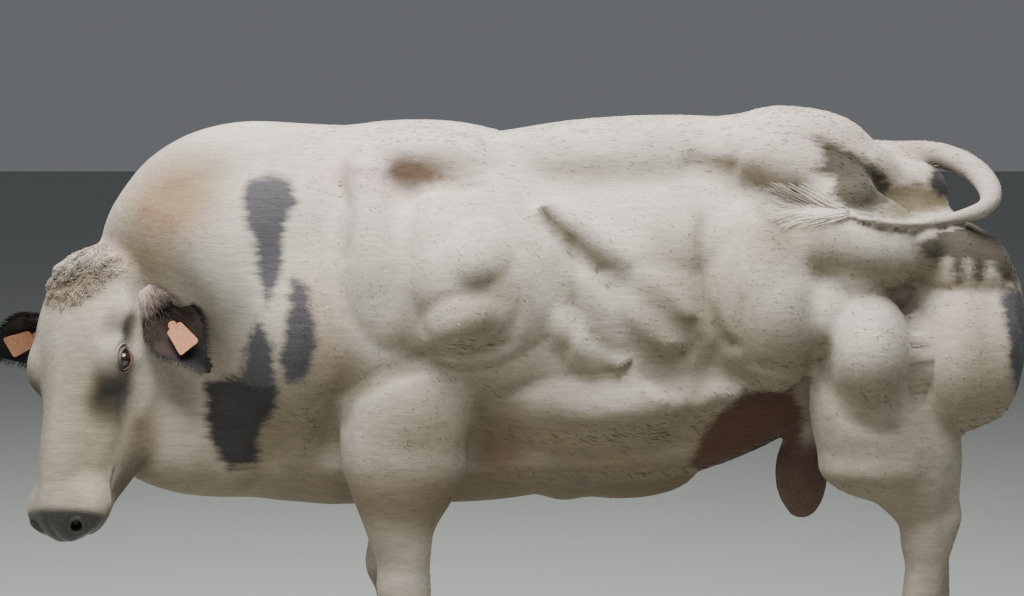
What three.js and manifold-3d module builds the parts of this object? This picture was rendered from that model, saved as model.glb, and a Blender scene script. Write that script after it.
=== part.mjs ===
// A double-muscled Belgian Blue bull, life size, as a still standing model.
// It faces -X with its left side towards -Y, its head low and turned to its left,
// and its tail swung round over the left thigh. Every flesh form is a smooth union
// of named muscles and bones, and each node is wrapped round its own union by rays.
import * as THREE from "three";
import { mergeVertices } from "three/addons/utils/BufferGeometryUtils.js";
import Module from "manifold-3d";

const wasm = await Module();
wasm.setup();

// Driving dimensions in millimetres.
const WITHERS = 1480; // height of the shoulder's top line
const CROUP = 1500; // height of the rump's top line
const GAP = 0.3; // air between nodes that meet
const FORE_TRACK = 205; // half the distance between the forefeet
const HIND_TRACK = 190; // half the distance between the hind feet
const HIND_STRIDE = 45; // the left hind foot stands this far ahead, and the right as far behind
const FORE_STRIDE = 28; // the left forefoot stands this far behind, and the right as far ahead
const KNEE = 415; // heights of the leg joints
const HOCK = 545;
const FETLOCK = 152;
const CORONET = 84;
const HEAD_LENGTH = 600; // poll to the tip of the muzzle
const HEAD_YAW = THREE.MathUtils.degToRad(53); // turned to the left from straight ahead
const HEAD_PITCH = THREE.MathUtils.degToRad(70); // the face line below the horizontal
const HEAD_ROLL = THREE.MathUtils.degToRad(8); // tipped with the left ear up
const POLL = [-984, -168, 1154];
const EYE_RADIUS = 21;

// Plain vector arithmetic on [x, y, z].
const add = (a, b) => [a[0] + b[0], a[1] + b[1], a[2] + b[2]];
const sub = (a, b) => [a[0] - b[0], a[1] - b[1], a[2] - b[2]];
const scaled = (a, k) => [a[0] * k, a[1] * k, a[2] * k];
const dot = (a, b) => a[0] * b[0] + a[1] * b[1] + a[2] * b[2];
const cross = (a, b) => [
  a[1] * b[2] - a[2] * b[1],
  a[2] * b[0] - a[0] * b[2],
  a[0] * b[1] - a[1] * b[0],
];
const unit = (a) => scaled(a, 1 / Math.hypot(...a));
const mix = (a, b, t) => add(scaled(a, 1 - t), scaled(b, t));
const clamp = THREE.MathUtils.clamp;
const smoothstep = (x, low, high) => THREE.MathUtils.smoothstep(x, low, high);

// The head's own frame: along the face from the poll, to the animal's left, and out of the forehead.
const FACE_DOWN = [
  -Math.cos(HEAD_PITCH) * Math.cos(HEAD_YAW),
  -Math.cos(HEAD_PITCH) * Math.sin(HEAD_YAW),
  -Math.sin(HEAD_PITCH),
];
const FACE_LEFT = [Math.sin(HEAD_YAW), -Math.cos(HEAD_YAW), 0];
const HEAD_ALONG = add(scaled(FACE_DOWN, Math.cos(HEAD_ROLL)), scaled(FACE_LEFT, Math.sin(HEAD_ROLL)));
const HEAD_LEFT = sub(scaled(FACE_LEFT, Math.cos(HEAD_ROLL)), scaled(FACE_DOWN, Math.sin(HEAD_ROLL)));
const HEAD_OUT = cross(HEAD_ALONG, HEAD_LEFT);
const inHead = (p) => {
  const q = sub(p, POLL);
  return [dot(q, HEAD_ALONG), dot(q, HEAD_LEFT), dot(q, HEAD_OUT)];
};
const headPoint = (along, left, out) =>
  add(POLL, add(add(scaled(HEAD_ALONG, along), scaled(HEAD_LEFT, left)), scaled(HEAD_OUT, out)));

// A muscle is an ellipsoid from one end to the other, wide as seen from outside and thick outwards.
// Blend is how far it melts into its neighbours.
function muscle(from, to, wide, thick, blend = 45, out = [0, 1, 0]) {
  const centre = mix(from, to, 0.5);
  const u = unit(sub(to, from));
  const w = unit(sub(out, scaled(u, dot(out, u))));
  const v = cross(w, u);
  const [a, b, c] = [Math.hypot(...sub(to, from)) / 2, wide / 2, thick / 2];
  const distance = (x, y, z) => {
    const q = [x - centre[0], y - centre[1], z - centre[2]];
    const [i, j, k] = [dot(q, u) / a, dot(q, v) / b, dot(q, w) / c];
    const near = Math.hypot(i, j, k);
    const steep = Math.hypot(i / a, j / b, k / c);
    return steep < 1e-9 ? -Math.min(a, b, c) : (near * (near - 1)) / steep;
  };
  return { distance, blend };
}

// A ball of flesh with its own three half sizes.
const mass = (centre, half, blend = 60) =>
  muscle(
    sub(centre, [half[0], 0, 0]),
    add(centre, [half[0], 0, 0]),
    half[2] * 2,
    half[1] * 2,
    blend,
  );

// A limb bone with its covering, tapering from one radius to another.
function bone(from, to, startRadius, endRadius, blend = 30) {
  const line = sub(to, from);
  const distance = (x, y, z) => {
    const q = [x - from[0], y - from[1], z - from[2]];
    const t = clamp(dot(q, line) / dot(line, line), 0, 1);
    return Math.hypot(...sub(q, scaled(line, t))) - startRadius - (endRadius - startRadius) * t;
  };
  return { distance, blend };
}

// The smooth union of some forms, less the smooth hollows, as a distance from the surface.
function union(forms, hollows = []) {
  return (x, y, z) => {
    let d = Infinity;
    for (const form of forms) {
      const e = form.distance(x, y, z);
      const h = Math.max(form.blend - Math.abs(d - e), 0) / form.blend;
      d = Math.min(d, e) - (d === Infinity ? 0 : (h * h * form.blend) / 4);
    }
    for (const hollow of hollows) {
      const e = -hollow.distance(x, y, z);
      const h = Math.max(hollow.blend - Math.abs(d - e), 0) / hollow.blend;
      d = Math.max(d, e) + (h * h * hollow.blend) / 4;
    }
    return d;
  };
}

// The trunk, given for the left half with y outwards and mirrored.
const trunkForms = [
  mass([-120, 0, 1035], [560, 300, 400], 60),
  mass([230, 0, 1010], [540, 318, 372], 120),
  mass([520, 0, 1130], [400, 262, 325], 120),
  mass([760, 0, 1130], [300, 250, 272], 120),
  mass([-400, 0, 1010], [250, 240, 360], 120),
  mass([-480, 0, 770], [190, 150, 165], 90),
  muscle([-560, 0, 700], [60, 0, 672], 170, 300, 90),
  muscle([-520, 0, 1375], [0, 0, 1400], 180, 170, 70),
  muscle([-170, 92, 1372], [720, 92, 1412], 190, 190, 45),
  muscle([-30, 150, 1392], [-330, 130, 1412], 130, 170, 30),
  // shoulder
  muscle([-60, 150, 1390], [-85, 250, 820], 500, 300, 45),
  muscle([-330, 140, 1420], [-320, 240, 850], 230, 300, 45),
  muscle([-200, 215, 1330], [-100, 295, 1010], 210, 190, 28),
  muscle([-160, 288, 1235], [-105, 305, 985], 205, 168, 22),
  muscle([-5, 292, 1120], [-215, 298, 955], 120, 160, 20),
  muscle([-320, 225, 1150], [-290, 250, 830], 210, 225, 30),
  muscle([-430, 165, 1180], [-500, 215, 830], 220, 230, 40),
  muscle([-200, 225, 960], [-250, 215, 700], 300, 200, 35),
  // ribs and flank
  muscle([30, 258, 1330], [420, 285, 1030], 90, 80, 60),
  muscle([60, 262, 1215], [420, 285, 930], 90, 80, 60),
  muscle([40, 262, 1090], [360, 285, 850], 90, 80, 60),
  muscle([120, 230, 830], [560, 225, 880], 130, 130, 60),
  muscle([430, 205, 800], [690, 240, 900], 120, 90, 60),
  // rump and thigh
  muscle([455, 165, 1420], [890, 100, 1300], 260, 250, 50),
  muscle([560, 175, 1470], [790, 120, 1430], 110, 150, 40),
  muscle([545, 190, 1330], [600, 265, 840], 270, 260, 40),
  muscle([620, 235, 1270], [960, 235, 1160], 300, 260, 45),
  muscle([730, 245, 1190], [800, 305, 840], 250, 230, 24),
  muscle([975, 170, 1290], [1005, 240, 760], 320, 250, 26),
  muscle([950, 110, 1270], [1010, 105, 860], 300, 190, 40),
  muscle([800, 130, 1000], [960, 130, 700], 330, 210, 60),
  muscle([740, 235, 900], [880, 215, 680], 280, 190, 60),
  muscle([790, 25, 1405], [930, 18, 1345], 90, 90, 40),
  muscle([850, 70, 1345], [990, 78, 1305], 120, 120, 34),
];
const trunkHollows = [
  muscle([430, 335, 1300], [620, 335, 1395], 70, 130, 50),
  muscle([1100, 0, 1330], [1200, 0, 760], 240, 60, 70),
];
const trunkHalf = union(trunkForms, trunkHollows);

// Bulges of single muscles as drawn on a side view: centre x z, half sizes, tilt, height.
// Where two meet, the higher one shows, with a crease between them.
const RELIEF = [
  [-103, 1165, 246, 235, 0, 44],
  [-75, 1190, 112, 112, -14, 66],
  [-103, 1045, 128, 82, 16, 66],
  [-268, 1190, 125, 220, 8, 36],
  [-224, 1405, 200, 78, -9, 48],
  [-226, 812, 155, 125, 0, 46],
  [222, 1178, 160, 50, -49, 25],
  [172, 1084, 140, 46, -54, 23],
  [134, 990, 120, 42, -58, 19],
  [300, 1290, 330, 170, -7, 40],
  [330, 1106, 110, 170, 0, 22],
  [200, 812, 262, 96, 0, 32],
  [579, 1112, 178, 246, 0, 44],
  [606, 1062, 124, 156, 0, 54],
  [800, 955, 126, 156, 0, 64],
  [1006, 950, 128, 192, 0, 62],
  [736, 1195, 200, 104, -8, 52],
  [640, 1390, 184, 110, -22, 46],
  [986, 1185, 130, 96, -20, 52],
  [788, 740, 150, 120, 0, 32],
  [513, 1450, 56, 44, 0, 46],
];
const VALLEY = 46; // how far the flank sinks where no muscle bulges
function relief(x, half, z) {
  let height = 0;
  for (const [centreX, centreZ, halfX, halfZ, tilt, high] of RELIEF) {
    const turn = THREE.MathUtils.degToRad(tilt);
    const u = ((x - centreX) * Math.cos(turn) + (z - centreZ) * Math.sin(turn)) / halfX;
    const v = ((z - centreZ) * Math.cos(turn) - (x - centreX) * Math.sin(turn)) / halfZ;
    height = Math.max(height, high * Math.max(1 - u * u - v * v, 0) ** 0.85);
  }
  const inland = smoothstep(-x, -1130, -1030) * smoothstep(x, -470, -380) * smoothstep(z, 680, 760);
  const topline = 1 - 0.85 * smoothstep(z, 1290, 1400);
  return (height - VALLEY * inland) * topline * smoothstep(half, 90, 190);
}
const mirrored = (field) => (x, y, z) => field(x, Math.abs(y), z);

// The legs, for the left side with y outwards, before the stride.
const foreForms = [
  muscle([-250, 215, 960], [-250, 212, 560], 280, 215, 40),
  muscle([-150, 220, 900], [-235, 205, 600], 150, 160, 40),
  muscle([-335, 218, 830], [-285, 210, 500], 110, 130, 35),
  bone([-262, FORE_TRACK, 640], [-264, FORE_TRACK, KNEE], 84, 52, 40),
  muscle([-272, FORE_TRACK, KNEE + 70], [-266, FORE_TRACK, KNEE - 62], 116, 116, 30),
  bone([-262, FORE_TRACK, KNEE - 20], [-258, FORE_TRACK, FETLOCK + 40], 41, 37, 25),
  bone([-240, FORE_TRACK, KNEE - 30], [-236, FORE_TRACK, FETLOCK + 40], 24, 24, 25),
  muscle([-262, FORE_TRACK, FETLOCK + 52], [-262, FORE_TRACK, FETLOCK - 50], 108, 112, 25),
  bone([-262, FORE_TRACK, FETLOCK], [-296, FORE_TRACK, CORONET + 5], 46, 50, 22),
];
const hindForms = [
  muscle([730, 235, 980], [865, 215, 640], 250, 220, 50),
  muscle([850, 215, 900], [950, HIND_TRACK + 5, 590], 220, 175, 45),
  bone([870, 205, 740], [960, HIND_TRACK, 570], 88, 52, 40),
  bone([960, 200, 760], [1006, HIND_TRACK, HOCK + 48], 44, 25, 30),
  muscle([1010, HIND_TRACK, HOCK + 70], [985, HIND_TRACK, HOCK - 60], 66, 62, 25),
  muscle([945, HIND_TRACK, HOCK + 62], [962, HIND_TRACK, HOCK - 70], 104, 96, 28),
  bone([962, HIND_TRACK, HOCK - 30], [950, HIND_TRACK, FETLOCK + 45], 43, 38, 25),
  bone([986, HIND_TRACK, HOCK - 40], [974, HIND_TRACK, FETLOCK + 45], 25, 24, 25),
  muscle([952, HIND_TRACK, FETLOCK + 58], [950, HIND_TRACK, FETLOCK - 45], 106, 106, 25),
  bone([950, HIND_TRACK, FETLOCK + 5], [914, HIND_TRACK, CORONET + 8], 44, 49, 22),
];
const foreUnion = union(foreForms);
const hindUnion = union(hindForms);

// How far a leg point is carried backwards by the stride: nothing at the top, all of it at the foot.
const strideShift = (stride, side, z) => stride * side * (1 - smoothstep(z, 250, 900));
const foreLeg = (side) => (x, y, z) =>
  y * side < 0 ? 100 - y * side : foreUnion(x - strideShift(-FORE_STRIDE, side, z), y * side, z);
const hindLeg = (side) => (x, y, z) =>
  y * side < 0 ? 100 - y * side : hindUnion(x - strideShift(HIND_STRIDE, side, z), y * side, z);

// The neck, bending down and to the left, and ending behind the poll and the jaw.
const neckForms = [
  mass([-480, -5, 1090], [240, 258, 350], 60),
  muscle([-460, -10, 1090], [-900, -110, 1010], 560, 480, 90),
  muscle([-620, -40, 1080], [-930, -135, 1010], 420, 400, 80),
  muscle([-360, 0, 1350], [-860, -75, 1300], 300, 300, 60),
  muscle([-640, -40, 1330], [-905, -110, 1140], 270, 280, 50),
  muscle([-430, -150, 1300], [-820, -185, 1130], 240, 190, 45),
  muscle([-430, 135, 1300], [-820, 40, 1130], 240, 190, 45),
  muscle([-400, -210, 1180], [-520, -235, 820], 250, 170, 40),
  muscle([-400, 205, 1180], [-520, 225, 820], 250, 170, 40),
  muscle([-480, -190, 840], [-850, -200, 940], 190, 150, 45),
  muscle([-480, 180, 840], [-800, 40, 930], 190, 150, 45),
  muscle([-870, -185, 1165], [-715, -225, 1128], 70, 90, 24, [0, -1, 0.4]),
];
const neckFull = union(neckForms);
const throatForms = [
  muscle([-420, -10, 745], [-900, -130, 772], 270, 210, 60),
  muscle([-470, 0, 690], [-880, -145, 712], 150, 130, 50),
];
const throat = union(throatForms);

// The smooth lesser and greater of two distances.
const blended = (a, b, width) => {
  const h = Math.max(width - Math.abs(a - b), 0) / width;
  return Math.min(a, b) - (h * h * width) / 4;
};
const NAPE = -58; // where the plane behind the poll and the jaw stands
const NAPE_TILT = [0.68, 0.74];
const nape = (x, y, z) => {
  const [along, , out] = inHead([x, y, z]);
  return along * NAPE_TILT[0] + out * NAPE_TILT[1] - NAPE;
};
const neckField = (x, y, z) =>
  blended(-blended(-neckFull(x, y, z), -nape(x, y, z), 60), throat(x, y, z), 60);

// The whole body without its head: trunk, upper legs and neck in one smooth skin.
const body = (x, y, z) => {
  const half = Math.abs(y);
  let d = trunkHalf(x, half, z) - relief(x, half, z);
  if (x < 0) d = blended(d, neckField(x, y, z), 60);
  return d;
};

// The head in its own frame, as along, left and out, given for one half and mirrored.
const headForms = [
  mass([120, 0, -95], [150, 118, 92], 50),
  mass([8, 0, -80], [72, 110, 66], 50),
  mass([145, 0, -58], [170, 136, 60], 45),
  mass([318, 0, -112], [190, 92, 100], 60),
  mass([465, 0, -92], [150, 74, 72], 50),
  mass([385, 0, -50], [190, 48, 42], 35),
  mass([545, 0, -82], [58, 96, 56], 34),
  mass([528, 54, -90], [62, 50, 50], 26),
  mass([528, 0, -152], [58, 62, 30], 14),
  muscle([200, 84, -246], [515, 34, -158], 98, 78, 40),
  mass([210, 88, -198], [122, 48, 120], 36),
  mass([360, 56, -128], [105, 34, 48], 40),
  muscle([240, 112, -88], [420, 70, -96], 44, 40, 26),
  mass([215, 104, -58], [60, 40, 42], 28),
  muscle([40, 70, -120], [175, 98, -120], 110, 60, 35),
  mass([90, 0, -200], [150, 96, 120], 70),
];
const headHollows = [
  mass([150, 144, -84], [34, 20, 26], 30),
  mass([275, 134, -116], [42, 18, 22], 40),
  mass([212, 156, -70], [26, 14, 18], 12),
];
const headUnion = union(headForms, headHollows);
const head = (x, y, z) => {
  const [along, left, out] = inHead([x, y, z]);
  return headUnion(along, Math.abs(left), out);
};

// Joins rings of points, with a pole at each end, into one closed geometry.
function closedNet(first, rings, last) {
  const spokes = rings[0].length;
  const at = (ring, spoke) => 1 + ring * spokes + (spoke % spokes);
  const points = [first, ...rings.flat(), last];
  const index = [];
  for (let s = 0; s < spokes; s++) {
    index.push(0, at(0, s + 1), at(0, s));
    index.push(points.length - 1, at(rings.length - 1, s), at(rings.length - 1, s + 1));
    for (let r = 0; r + 1 < rings.length; r++) {
      const [a, b, c, d] = [at(r, s), at(r, s + 1), at(r + 1, s + 1), at(r + 1, s)];
      const short = (i, j) => Math.hypot(...sub(points[i], points[j]));
      if (short(a, c) < short(b, d)) index.push(a, b, c, a, c, d);
      else index.push(a, b, d, b, c, d);
    }
  }
  return new THREE.BufferGeometry()
    .setAttribute("position", new THREE.Float32BufferAttribute(points.flat(), 3))
    .setIndex(index);
}

// The closed solid of a geometry, with its faces turned to point outwards.
function solidOf(geometry) {
  const bare = geometry.clone();
  bare.deleteAttribute("normal");
  bare.deleteAttribute("uv");
  const merged = mergeVertices(bare, 1e-3);
  const mesh = (triVerts) =>
    new wasm.Mesh({ numProp: 3, vertProperties: merged.attributes.position.array, triVerts });
  const made = new wasm.Manifold(mesh(new Uint32Array(merged.index.array)));
  if (made.volume() > 0) return made;
  const turned = new Uint32Array(merged.index.array);
  for (let i = 0; i < turned.length; i += 3) [turned[i], turned[i + 1]] = [turned[i + 1], turned[i]];
  return new wasm.Manifold(mesh(turned));
}

const largest = (solid) =>
  solid.decompose().reduce((best, piece) => (piece.volume() > best.volume() ? piece : best));
const joined = (solids) => solids.reduce((all, one) => all.add(one));
const less = (solid, ...tools) => largest(tools.reduce((rest, tool) => rest.subtract(tool), solid));

// How far a ray from inside runs before it leaves the flesh, grown by some air.
function reach(field, from, along, air) {
  const at = (t) => field(...add(from, scaled(along, t))) - air;
  let [low, high] = [0, 0];
  for (let d = at(0); d < 0 && high < 1500; d = at(high)) {
    low = high;
    high += clamp(-d * 0.6, 2, 40);
  }
  for (let i = 0; i < 24; i++) {
    const middle = (low + high) / 2;
    if (at(middle) < 0) low = middle;
    else high = middle;
  }
  return (low + high) / 2;
}

// Wraps a field with rays from a line of centres. The rays fan out round each end of the line.
// A blunt start is flat, square to the line or, for a leg, level.
function wrap(field, centres, { spokes, rings, fan, up = [0, 0, 1], air = 0, blunt = false }) {
  const line = new THREE.CatmullRomCurve3(centres.map((c) => new THREE.Vector3(...c)));
  const frameAt = (t) => {
    const along = line.getTangentAt(t).toArray();
    const top = unit(sub(up, scaled(along, dot(up, along))));
    return { centre: line.getPointAt(t).toArray(), along, top, side: cross(along, top) };
  };
  const ring = (t, tilt) => {
    const { centre, along, top, side } = frameAt(t);
    return Array.from({ length: spokes }, (_, s) => {
      const turn = (2 * Math.PI * (s + 0.5)) / spokes;
      const flat = add(scaled(top, Math.cos(turn)), scaled(side, Math.sin(turn)));
      const way = add(scaled(flat, Math.cos(tilt)), scaled(along, Math.sin(tilt)));
      return add(centre, scaled(way, reach(field, centre, way, air)));
    });
  };
  const pole = (t, sign) => {
    const { centre, along } = frameAt(t);
    const way = scaled(along, sign);
    return add(centre, scaled(way, reach(field, centre, way, air)));
  };
  const made = [];
  for (let i = 1; i <= fan && !blunt; i++) made.push(ring(0, (-Math.PI / 2) * (1 - i / (fan + 1))));
  for (let i = 0; i < rings; i++) made.push(ring(i / (rings - 1), 0));
  for (let i = 1; i <= fan; i++) made.push(ring(1, (Math.PI / 2) * (i / (fan + 1))));
  return solidOf(closedNet(blunt ? frameAt(0).centre : pole(0, -1), made, pole(1, 1)));
}

// A tapering tube along a curve, as flat as the two radius functions make it.
function tube(points, steps, sides, radiusUp, radiusSide, up = [0, 0, 1]) {
  const line = new THREE.CatmullRomCurve3(points.map((p) => new THREE.Vector3(...p)));
  const rings = Array.from({ length: steps + 1 }, (_, i) => {
    const t = i / steps;
    const centre = line.getPointAt(t).toArray();
    const along = line.getTangentAt(t).toArray();
    const top = unit(sub(up, scaled(along, dot(up, along))));
    const side = cross(along, top);
    return Array.from({ length: sides }, (_, s) => {
      const turn = (2 * Math.PI * (s + 0.5)) / sides;
      const across = add(
        scaled(top, Math.cos(turn) * radiusUp(t)),
        scaled(side, Math.sin(turn) * radiusSide(t)),
      );
      return add(centre, across);
    });
  });
  const end = (t, sign) =>
    add(line.getPointAt(t).toArray(), scaled(line.getTangentAt(t).toArray(), sign * radiusUp(t) * 0.5));
  return solidOf(closedNet(end(0, -1), rings, end(1, 1)));
}

// Trunk, running on past the slanted plane where the neck begins
const TORSO_LINE = [[-620, 0, 1050], [-330, 0, 1060], [0, 0, 1070], [400, 0, 1090], [840, 0, 1100]];
const TORSO_NET = { spokes: 46, rings: 30, fan: 5 };
const neckPlane = (push) => {
  const slab = new THREE.BoxGeometry(1600, 1600, 2400);
  slab.translate(-800 + push, 0, 0).rotateY(0.26).translate(-470, 0, 1050);
  return solidOf(slab);
};
const torsoPlain = less(wrap(body, TORSO_LINE, TORSO_NET), neckPlane(GAP));
const torsoGrown = wrap(body, TORSO_LINE, { ...TORSO_NET, air: GAP });

// Head
const HEAD_LINE = [headPoint(110, 0, -105), headPoint(300, 0, -115), headPoint(515, 0, -98)];
const HEAD_NET = { spokes: 28, rings: 19, fan: 4, up: HEAD_OUT };
const headBall = wrap(head, HEAD_LINE, HEAD_NET);
const headGrown = wrap(head, HEAD_LINE, { ...HEAD_NET, air: GAP });

// Neck
const NECK_LINE = [[-330, 0, 1070], [-470, 0, 1075], [-640, -40, 1060], [-800, -110, 1030]];
const NECK_NET = { spokes: 36, rings: 10, fan: 4, blunt: true };
const neckBall = wrap(body, NECK_LINE, NECK_NET);
const neckGrown = wrap(body, NECK_LINE, { ...NECK_NET, air: GAP });
const throatBall = wrap(throat, [[-480, -25, 745], [-660, -68, 752], [-810, -105, 758]],
  { spokes: 14, rings: 5, fan: 3 });
const neckSolid = less(neckBall.add(throatBall).intersect(neckPlane(0)), headGrown);

// Legs
const LEFT = -1;
const RIGHT = 1;
const FORE_LINE = [[-240, 225, 860], [-252, 213, 740], [-260, 207, 600], [-264, FORE_TRACK, KNEE],
  [-256, FORE_TRACK, 250], [-262, FORE_TRACK, FETLOCK], [-284, FORE_TRACK, CORONET + 20]];
const HIND_LINE = [[800, 225, 830], [860, 210, 730], [965, HIND_TRACK, HOCK],
  [956, HIND_TRACK, 330], [950, HIND_TRACK, FETLOCK], [925, HIND_TRACK, CORONET + 20]];
const legLine = (line, stride, side) =>
  line.map(([x, y, z]) => [x + strideShift(stride, side, z), y * side, z]);
const LEG_NET = { spokes: 14, rings: 24, fan: 2, up: [1, 0, 0] };
const legSolids = {
  foreleg_left: wrap(foreLeg(LEFT), legLine(FORE_LINE, -FORE_STRIDE, LEFT), LEG_NET),
  foreleg_right: wrap(foreLeg(RIGHT), legLine(FORE_LINE, -FORE_STRIDE, RIGHT), LEG_NET),
  hindleg_left: wrap(hindLeg(LEFT), legLine(HIND_LINE, HIND_STRIDE, LEFT), LEG_NET),
  hindleg_right: wrap(hindLeg(RIGHT), legLine(HIND_LINE, HIND_STRIDE, RIGHT), LEG_NET),
};

// Hooves: two claws a foot with flat soles on the floor, and two dewclaws behind the fetlock.
// The toe points to -X. A slanted plane parts each foot from the leg.
function claw(x, y, side, size) {
  const [toe, heel, inner, outer] = [x - 92 * size, x + 50 * size, y + side * 3.5, y + side * 60 * size];
  const ring = (z) => {
    const rise = z / CORONET;
    const front = toe + 56 * size * rise;
    const back = heel + 8 * rise - 6 * Math.sin(rise * Math.PI);
    const width = (outer - inner) * (1 - 0.14 * rise);
    return Array.from({ length: 14 }, (_, i) => {
      const turn = (i / 14) * 2 * Math.PI;
      const [c, n] = [Math.cos(turn), Math.sin(turn)];
      const bow = n >= 0 ? Math.sign(n) * Math.abs(n) ** 0.75 : n * 0.06;
      return [(front + back) / 2 - (c * (back - front)) / 2, inner + side * 2 + bow * (width - side * 2), z];
    });
  };
  const heights = [0, 5, 30, 62, 118];
  const rings = heights.map(ring);
  rings[0] = rings[0].map(([px, py]) => [px * 0.97 + x * 0.03, py * 0.95 + y * 0.05 + side * 1.5, 0]);
  const middle = (z) => [(toe + heel) / 2 + z * 0.3, (inner + outer) / 2, z];
  return solidOf(closedNet(middle(0), rings, middle(heights.at(-1))));
}
// Everything above the coronet's plane, which stands lower at the heel.
const aboveCoronet = (x, push) => {
  const slab = new THREE.BoxGeometry(2600, 900, 1600);
  slab.translate(0, 0, 800 + push).rotateY(0.3).translate(x, 0, CORONET - 14);
  return solidOf(slab);
};
const FEET = {
  foreleg_left: { x: -282 - FORE_STRIDE * -1, y: -FORE_TRACK, size: 1.04, back: -262 + FORE_STRIDE },
  foreleg_right: { x: -282 - FORE_STRIDE, y: FORE_TRACK, size: 1.04, back: -262 - FORE_STRIDE },
  hindleg_left: { x: 926 - HIND_STRIDE, y: -HIND_TRACK, size: 0.97, back: 950 - HIND_STRIDE },
  hindleg_right: { x: 926 + HIND_STRIDE, y: HIND_TRACK, size: 0.97, back: 950 + HIND_STRIDE },
};

// Ears: a cupped leaf from its root to its tip, opening towards its face.
function ear(root, tip, face, grow = 0) {
  const along = unit(sub(tip, root));
  const open = unit(sub(face, scaled(along, dot(face, along))));
  const across = cross(along, open);
  const length = Math.hypot(...sub(tip, root));
  const steps = 10;
  const middleAt = (t) => add(root, add(scaled(along, t * length), scaled(open, -30 * t * t)));
  const rings = Array.from({ length: steps + 1 }, (_, i) => {
    const t = i / steps;
    const half = 22 + 45 * smoothstep(t, 0, 0.45) - 58 * smoothstep(t, 0.5, 1.08) + grow;
    const depth = 34 - 16 * t;
    const skin = 9 - 4 * t + grow;
    const cup = smoothstep(t, 0.06, 0.3);
    return Array.from({ length: 16 }, (_, j) => {
      const turn = ((j + 0.5) / 16) * 2 * Math.PI;
      const u = Math.cos(turn);
      const bowl = depth * (1 - u * u);
      const sheet = skin * Math.abs(Math.sin(turn)) ** 0.5;
      const out = Math.sin(turn) > 0 ? sheet - bowl * cup * 0.9 : -sheet - bowl;
      return add(middleAt(t), add(scaled(across, u * half), scaled(open, out)));
    });
  });
  const cap = (t, push) => add(add(middleAt(t), scaled(along, push)), scaled(open, -10));
  return solidOf(closedNet(cap(0, -4 - grow), rings, cap(1, 7 + grow)));
}
const EARS = {
  left: { root: headPoint(38, 126, -106), way: [0.58, -0.48, -0.66], face: [-0.3, -0.77, 0.48], long: 240 },
  right: { root: headPoint(90, -100, -125), way: [-0.86, 0.26, -0.36], face: [-0.25, -0.85, -0.35], long: 240 },
};
const earOf = ({ root, way, face, long }, grow) => ear(root, add(root, scaled(unit(way), long)), face, grow);

// Eyes
const EYE_AT = [212, 122, -68];
const eyeBall = (side, grow) =>
  solidOf(new THREE.IcosahedronGeometry(EYE_RADIUS + grow, 2).translate(...headPoint(EYE_AT[0], side * EYE_AT[1], EYE_AT[2])));

// Tail: out of the rump, round to the left and forwards along the thigh
const flankY = (x, z) => {
  let y = -520;
  while (body(x, y, z) > 0.5 && y < 0) y += Math.max(body(x, y, z) * 0.5, 0.4);
  return y;
};
const lying = (x, z, radius) => [x, flankY(x, z) - radius, z];
const TAIL_PATH = [
  [842, 0, 1378], [915, -2, 1398], [985, -14, 1394], [1046, -62, 1368], [1074, -150, 1322],
  [1044, -245, 1284], lying(972, 1260, 26), lying(885, 1252, 22), lying(790, 1262, 17), lying(700, 1282, 12),
];
const tailThick = (t) => 34 - 14 * t - 14 * smoothstep(t, 0.35, 0.75);
function tailLength(from, to, steps, grow = 0) {
  const whole = new THREE.CatmullRomCurve3(TAIL_PATH.map((p) => new THREE.Vector3(...p)));
  const ring = (t) => {
    const centre = whole.getPointAt(t).toArray();
    const along = whole.getTangentAt(t).toArray();
    const top = unit(sub([0, 0, 1], scaled(along, along[2])));
    const side = cross(along, top);
    return Array.from({ length: 12 }, (_, i) => {
      const turn = ((i + 0.5) / 12) * 2 * Math.PI;
      const out = add(scaled(top, Math.cos(turn)), scaled(side, Math.sin(turn)));
      return add(centre, scaled(out, tailThick(t) + grow));
    });
  };
  const times = Array.from({ length: steps + 1 }, (_, i) => from + ((to - from) * i) / steps);
  return solidOf(
    closedNet(whole.getPointAt(from).toArray(), times.map(ring), whole.getPointAt(to).toArray()),
  );
}

// A flat tapering lock of hair along a bent path.
function lock(points, wide, thick, up) {
  return tube(points, 4, 4, (t) => thick * (1 - 0.8 * t), (t) => wide * (1.15 - t) * Math.min(1, 0.55 + t * 2), up);
}
const switchLocks = Array.from({ length: 9 }, (_, i) => {
  const spread = (i - 4) / 4;
  const start = lying(722 + 6 * Math.cos(i * 2.4), 1276 + spread * 8, 8);
  const reachX = 640 - 26 * Math.sin(i * 1.7);
  const endX = 545 - 40 * Math.cos(i * 2.1);
  const middle = lying(reachX, 1290 + spread * 24, 9 + 5 * Math.cos(i * 1.3));
  const end = lying(endX, 1296 + spread * 46 + 10 * Math.sin(i * 2.6), 6);
  return lock([start, middle, end], 24, 9, [0, 1, 0]);
});

// Scrotum and sheath
const scrotumForm = mirrored(
  union([
    muscle([674, 20, 930], [672, 24, 700], 84, 90, 40),
    muscle([672, 36, 760], [668, 34, 556], 118, 84, 30),
  ]),
);
const sheathForm = mirrored(
  union([mass([250, 0, 660], [170, 46, 62], 40), mass([120, 0, 648], [60, 36, 52], 30)]),
);
const scrotum = less(
  wrap(scrotumForm, [[673, 0, 870], [672, 0, 730], [668, 0, 636]], { spokes: 12, rings: 7, fan: 2, up: [1, 0, 0] }),
  torsoGrown,
);
const sheath = less(
  wrap(sheathForm, [[130, 0, 652], [320, 0, 665]], { spokes: 12, rings: 6, fan: 2 }),
  torsoGrown,
);

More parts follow.
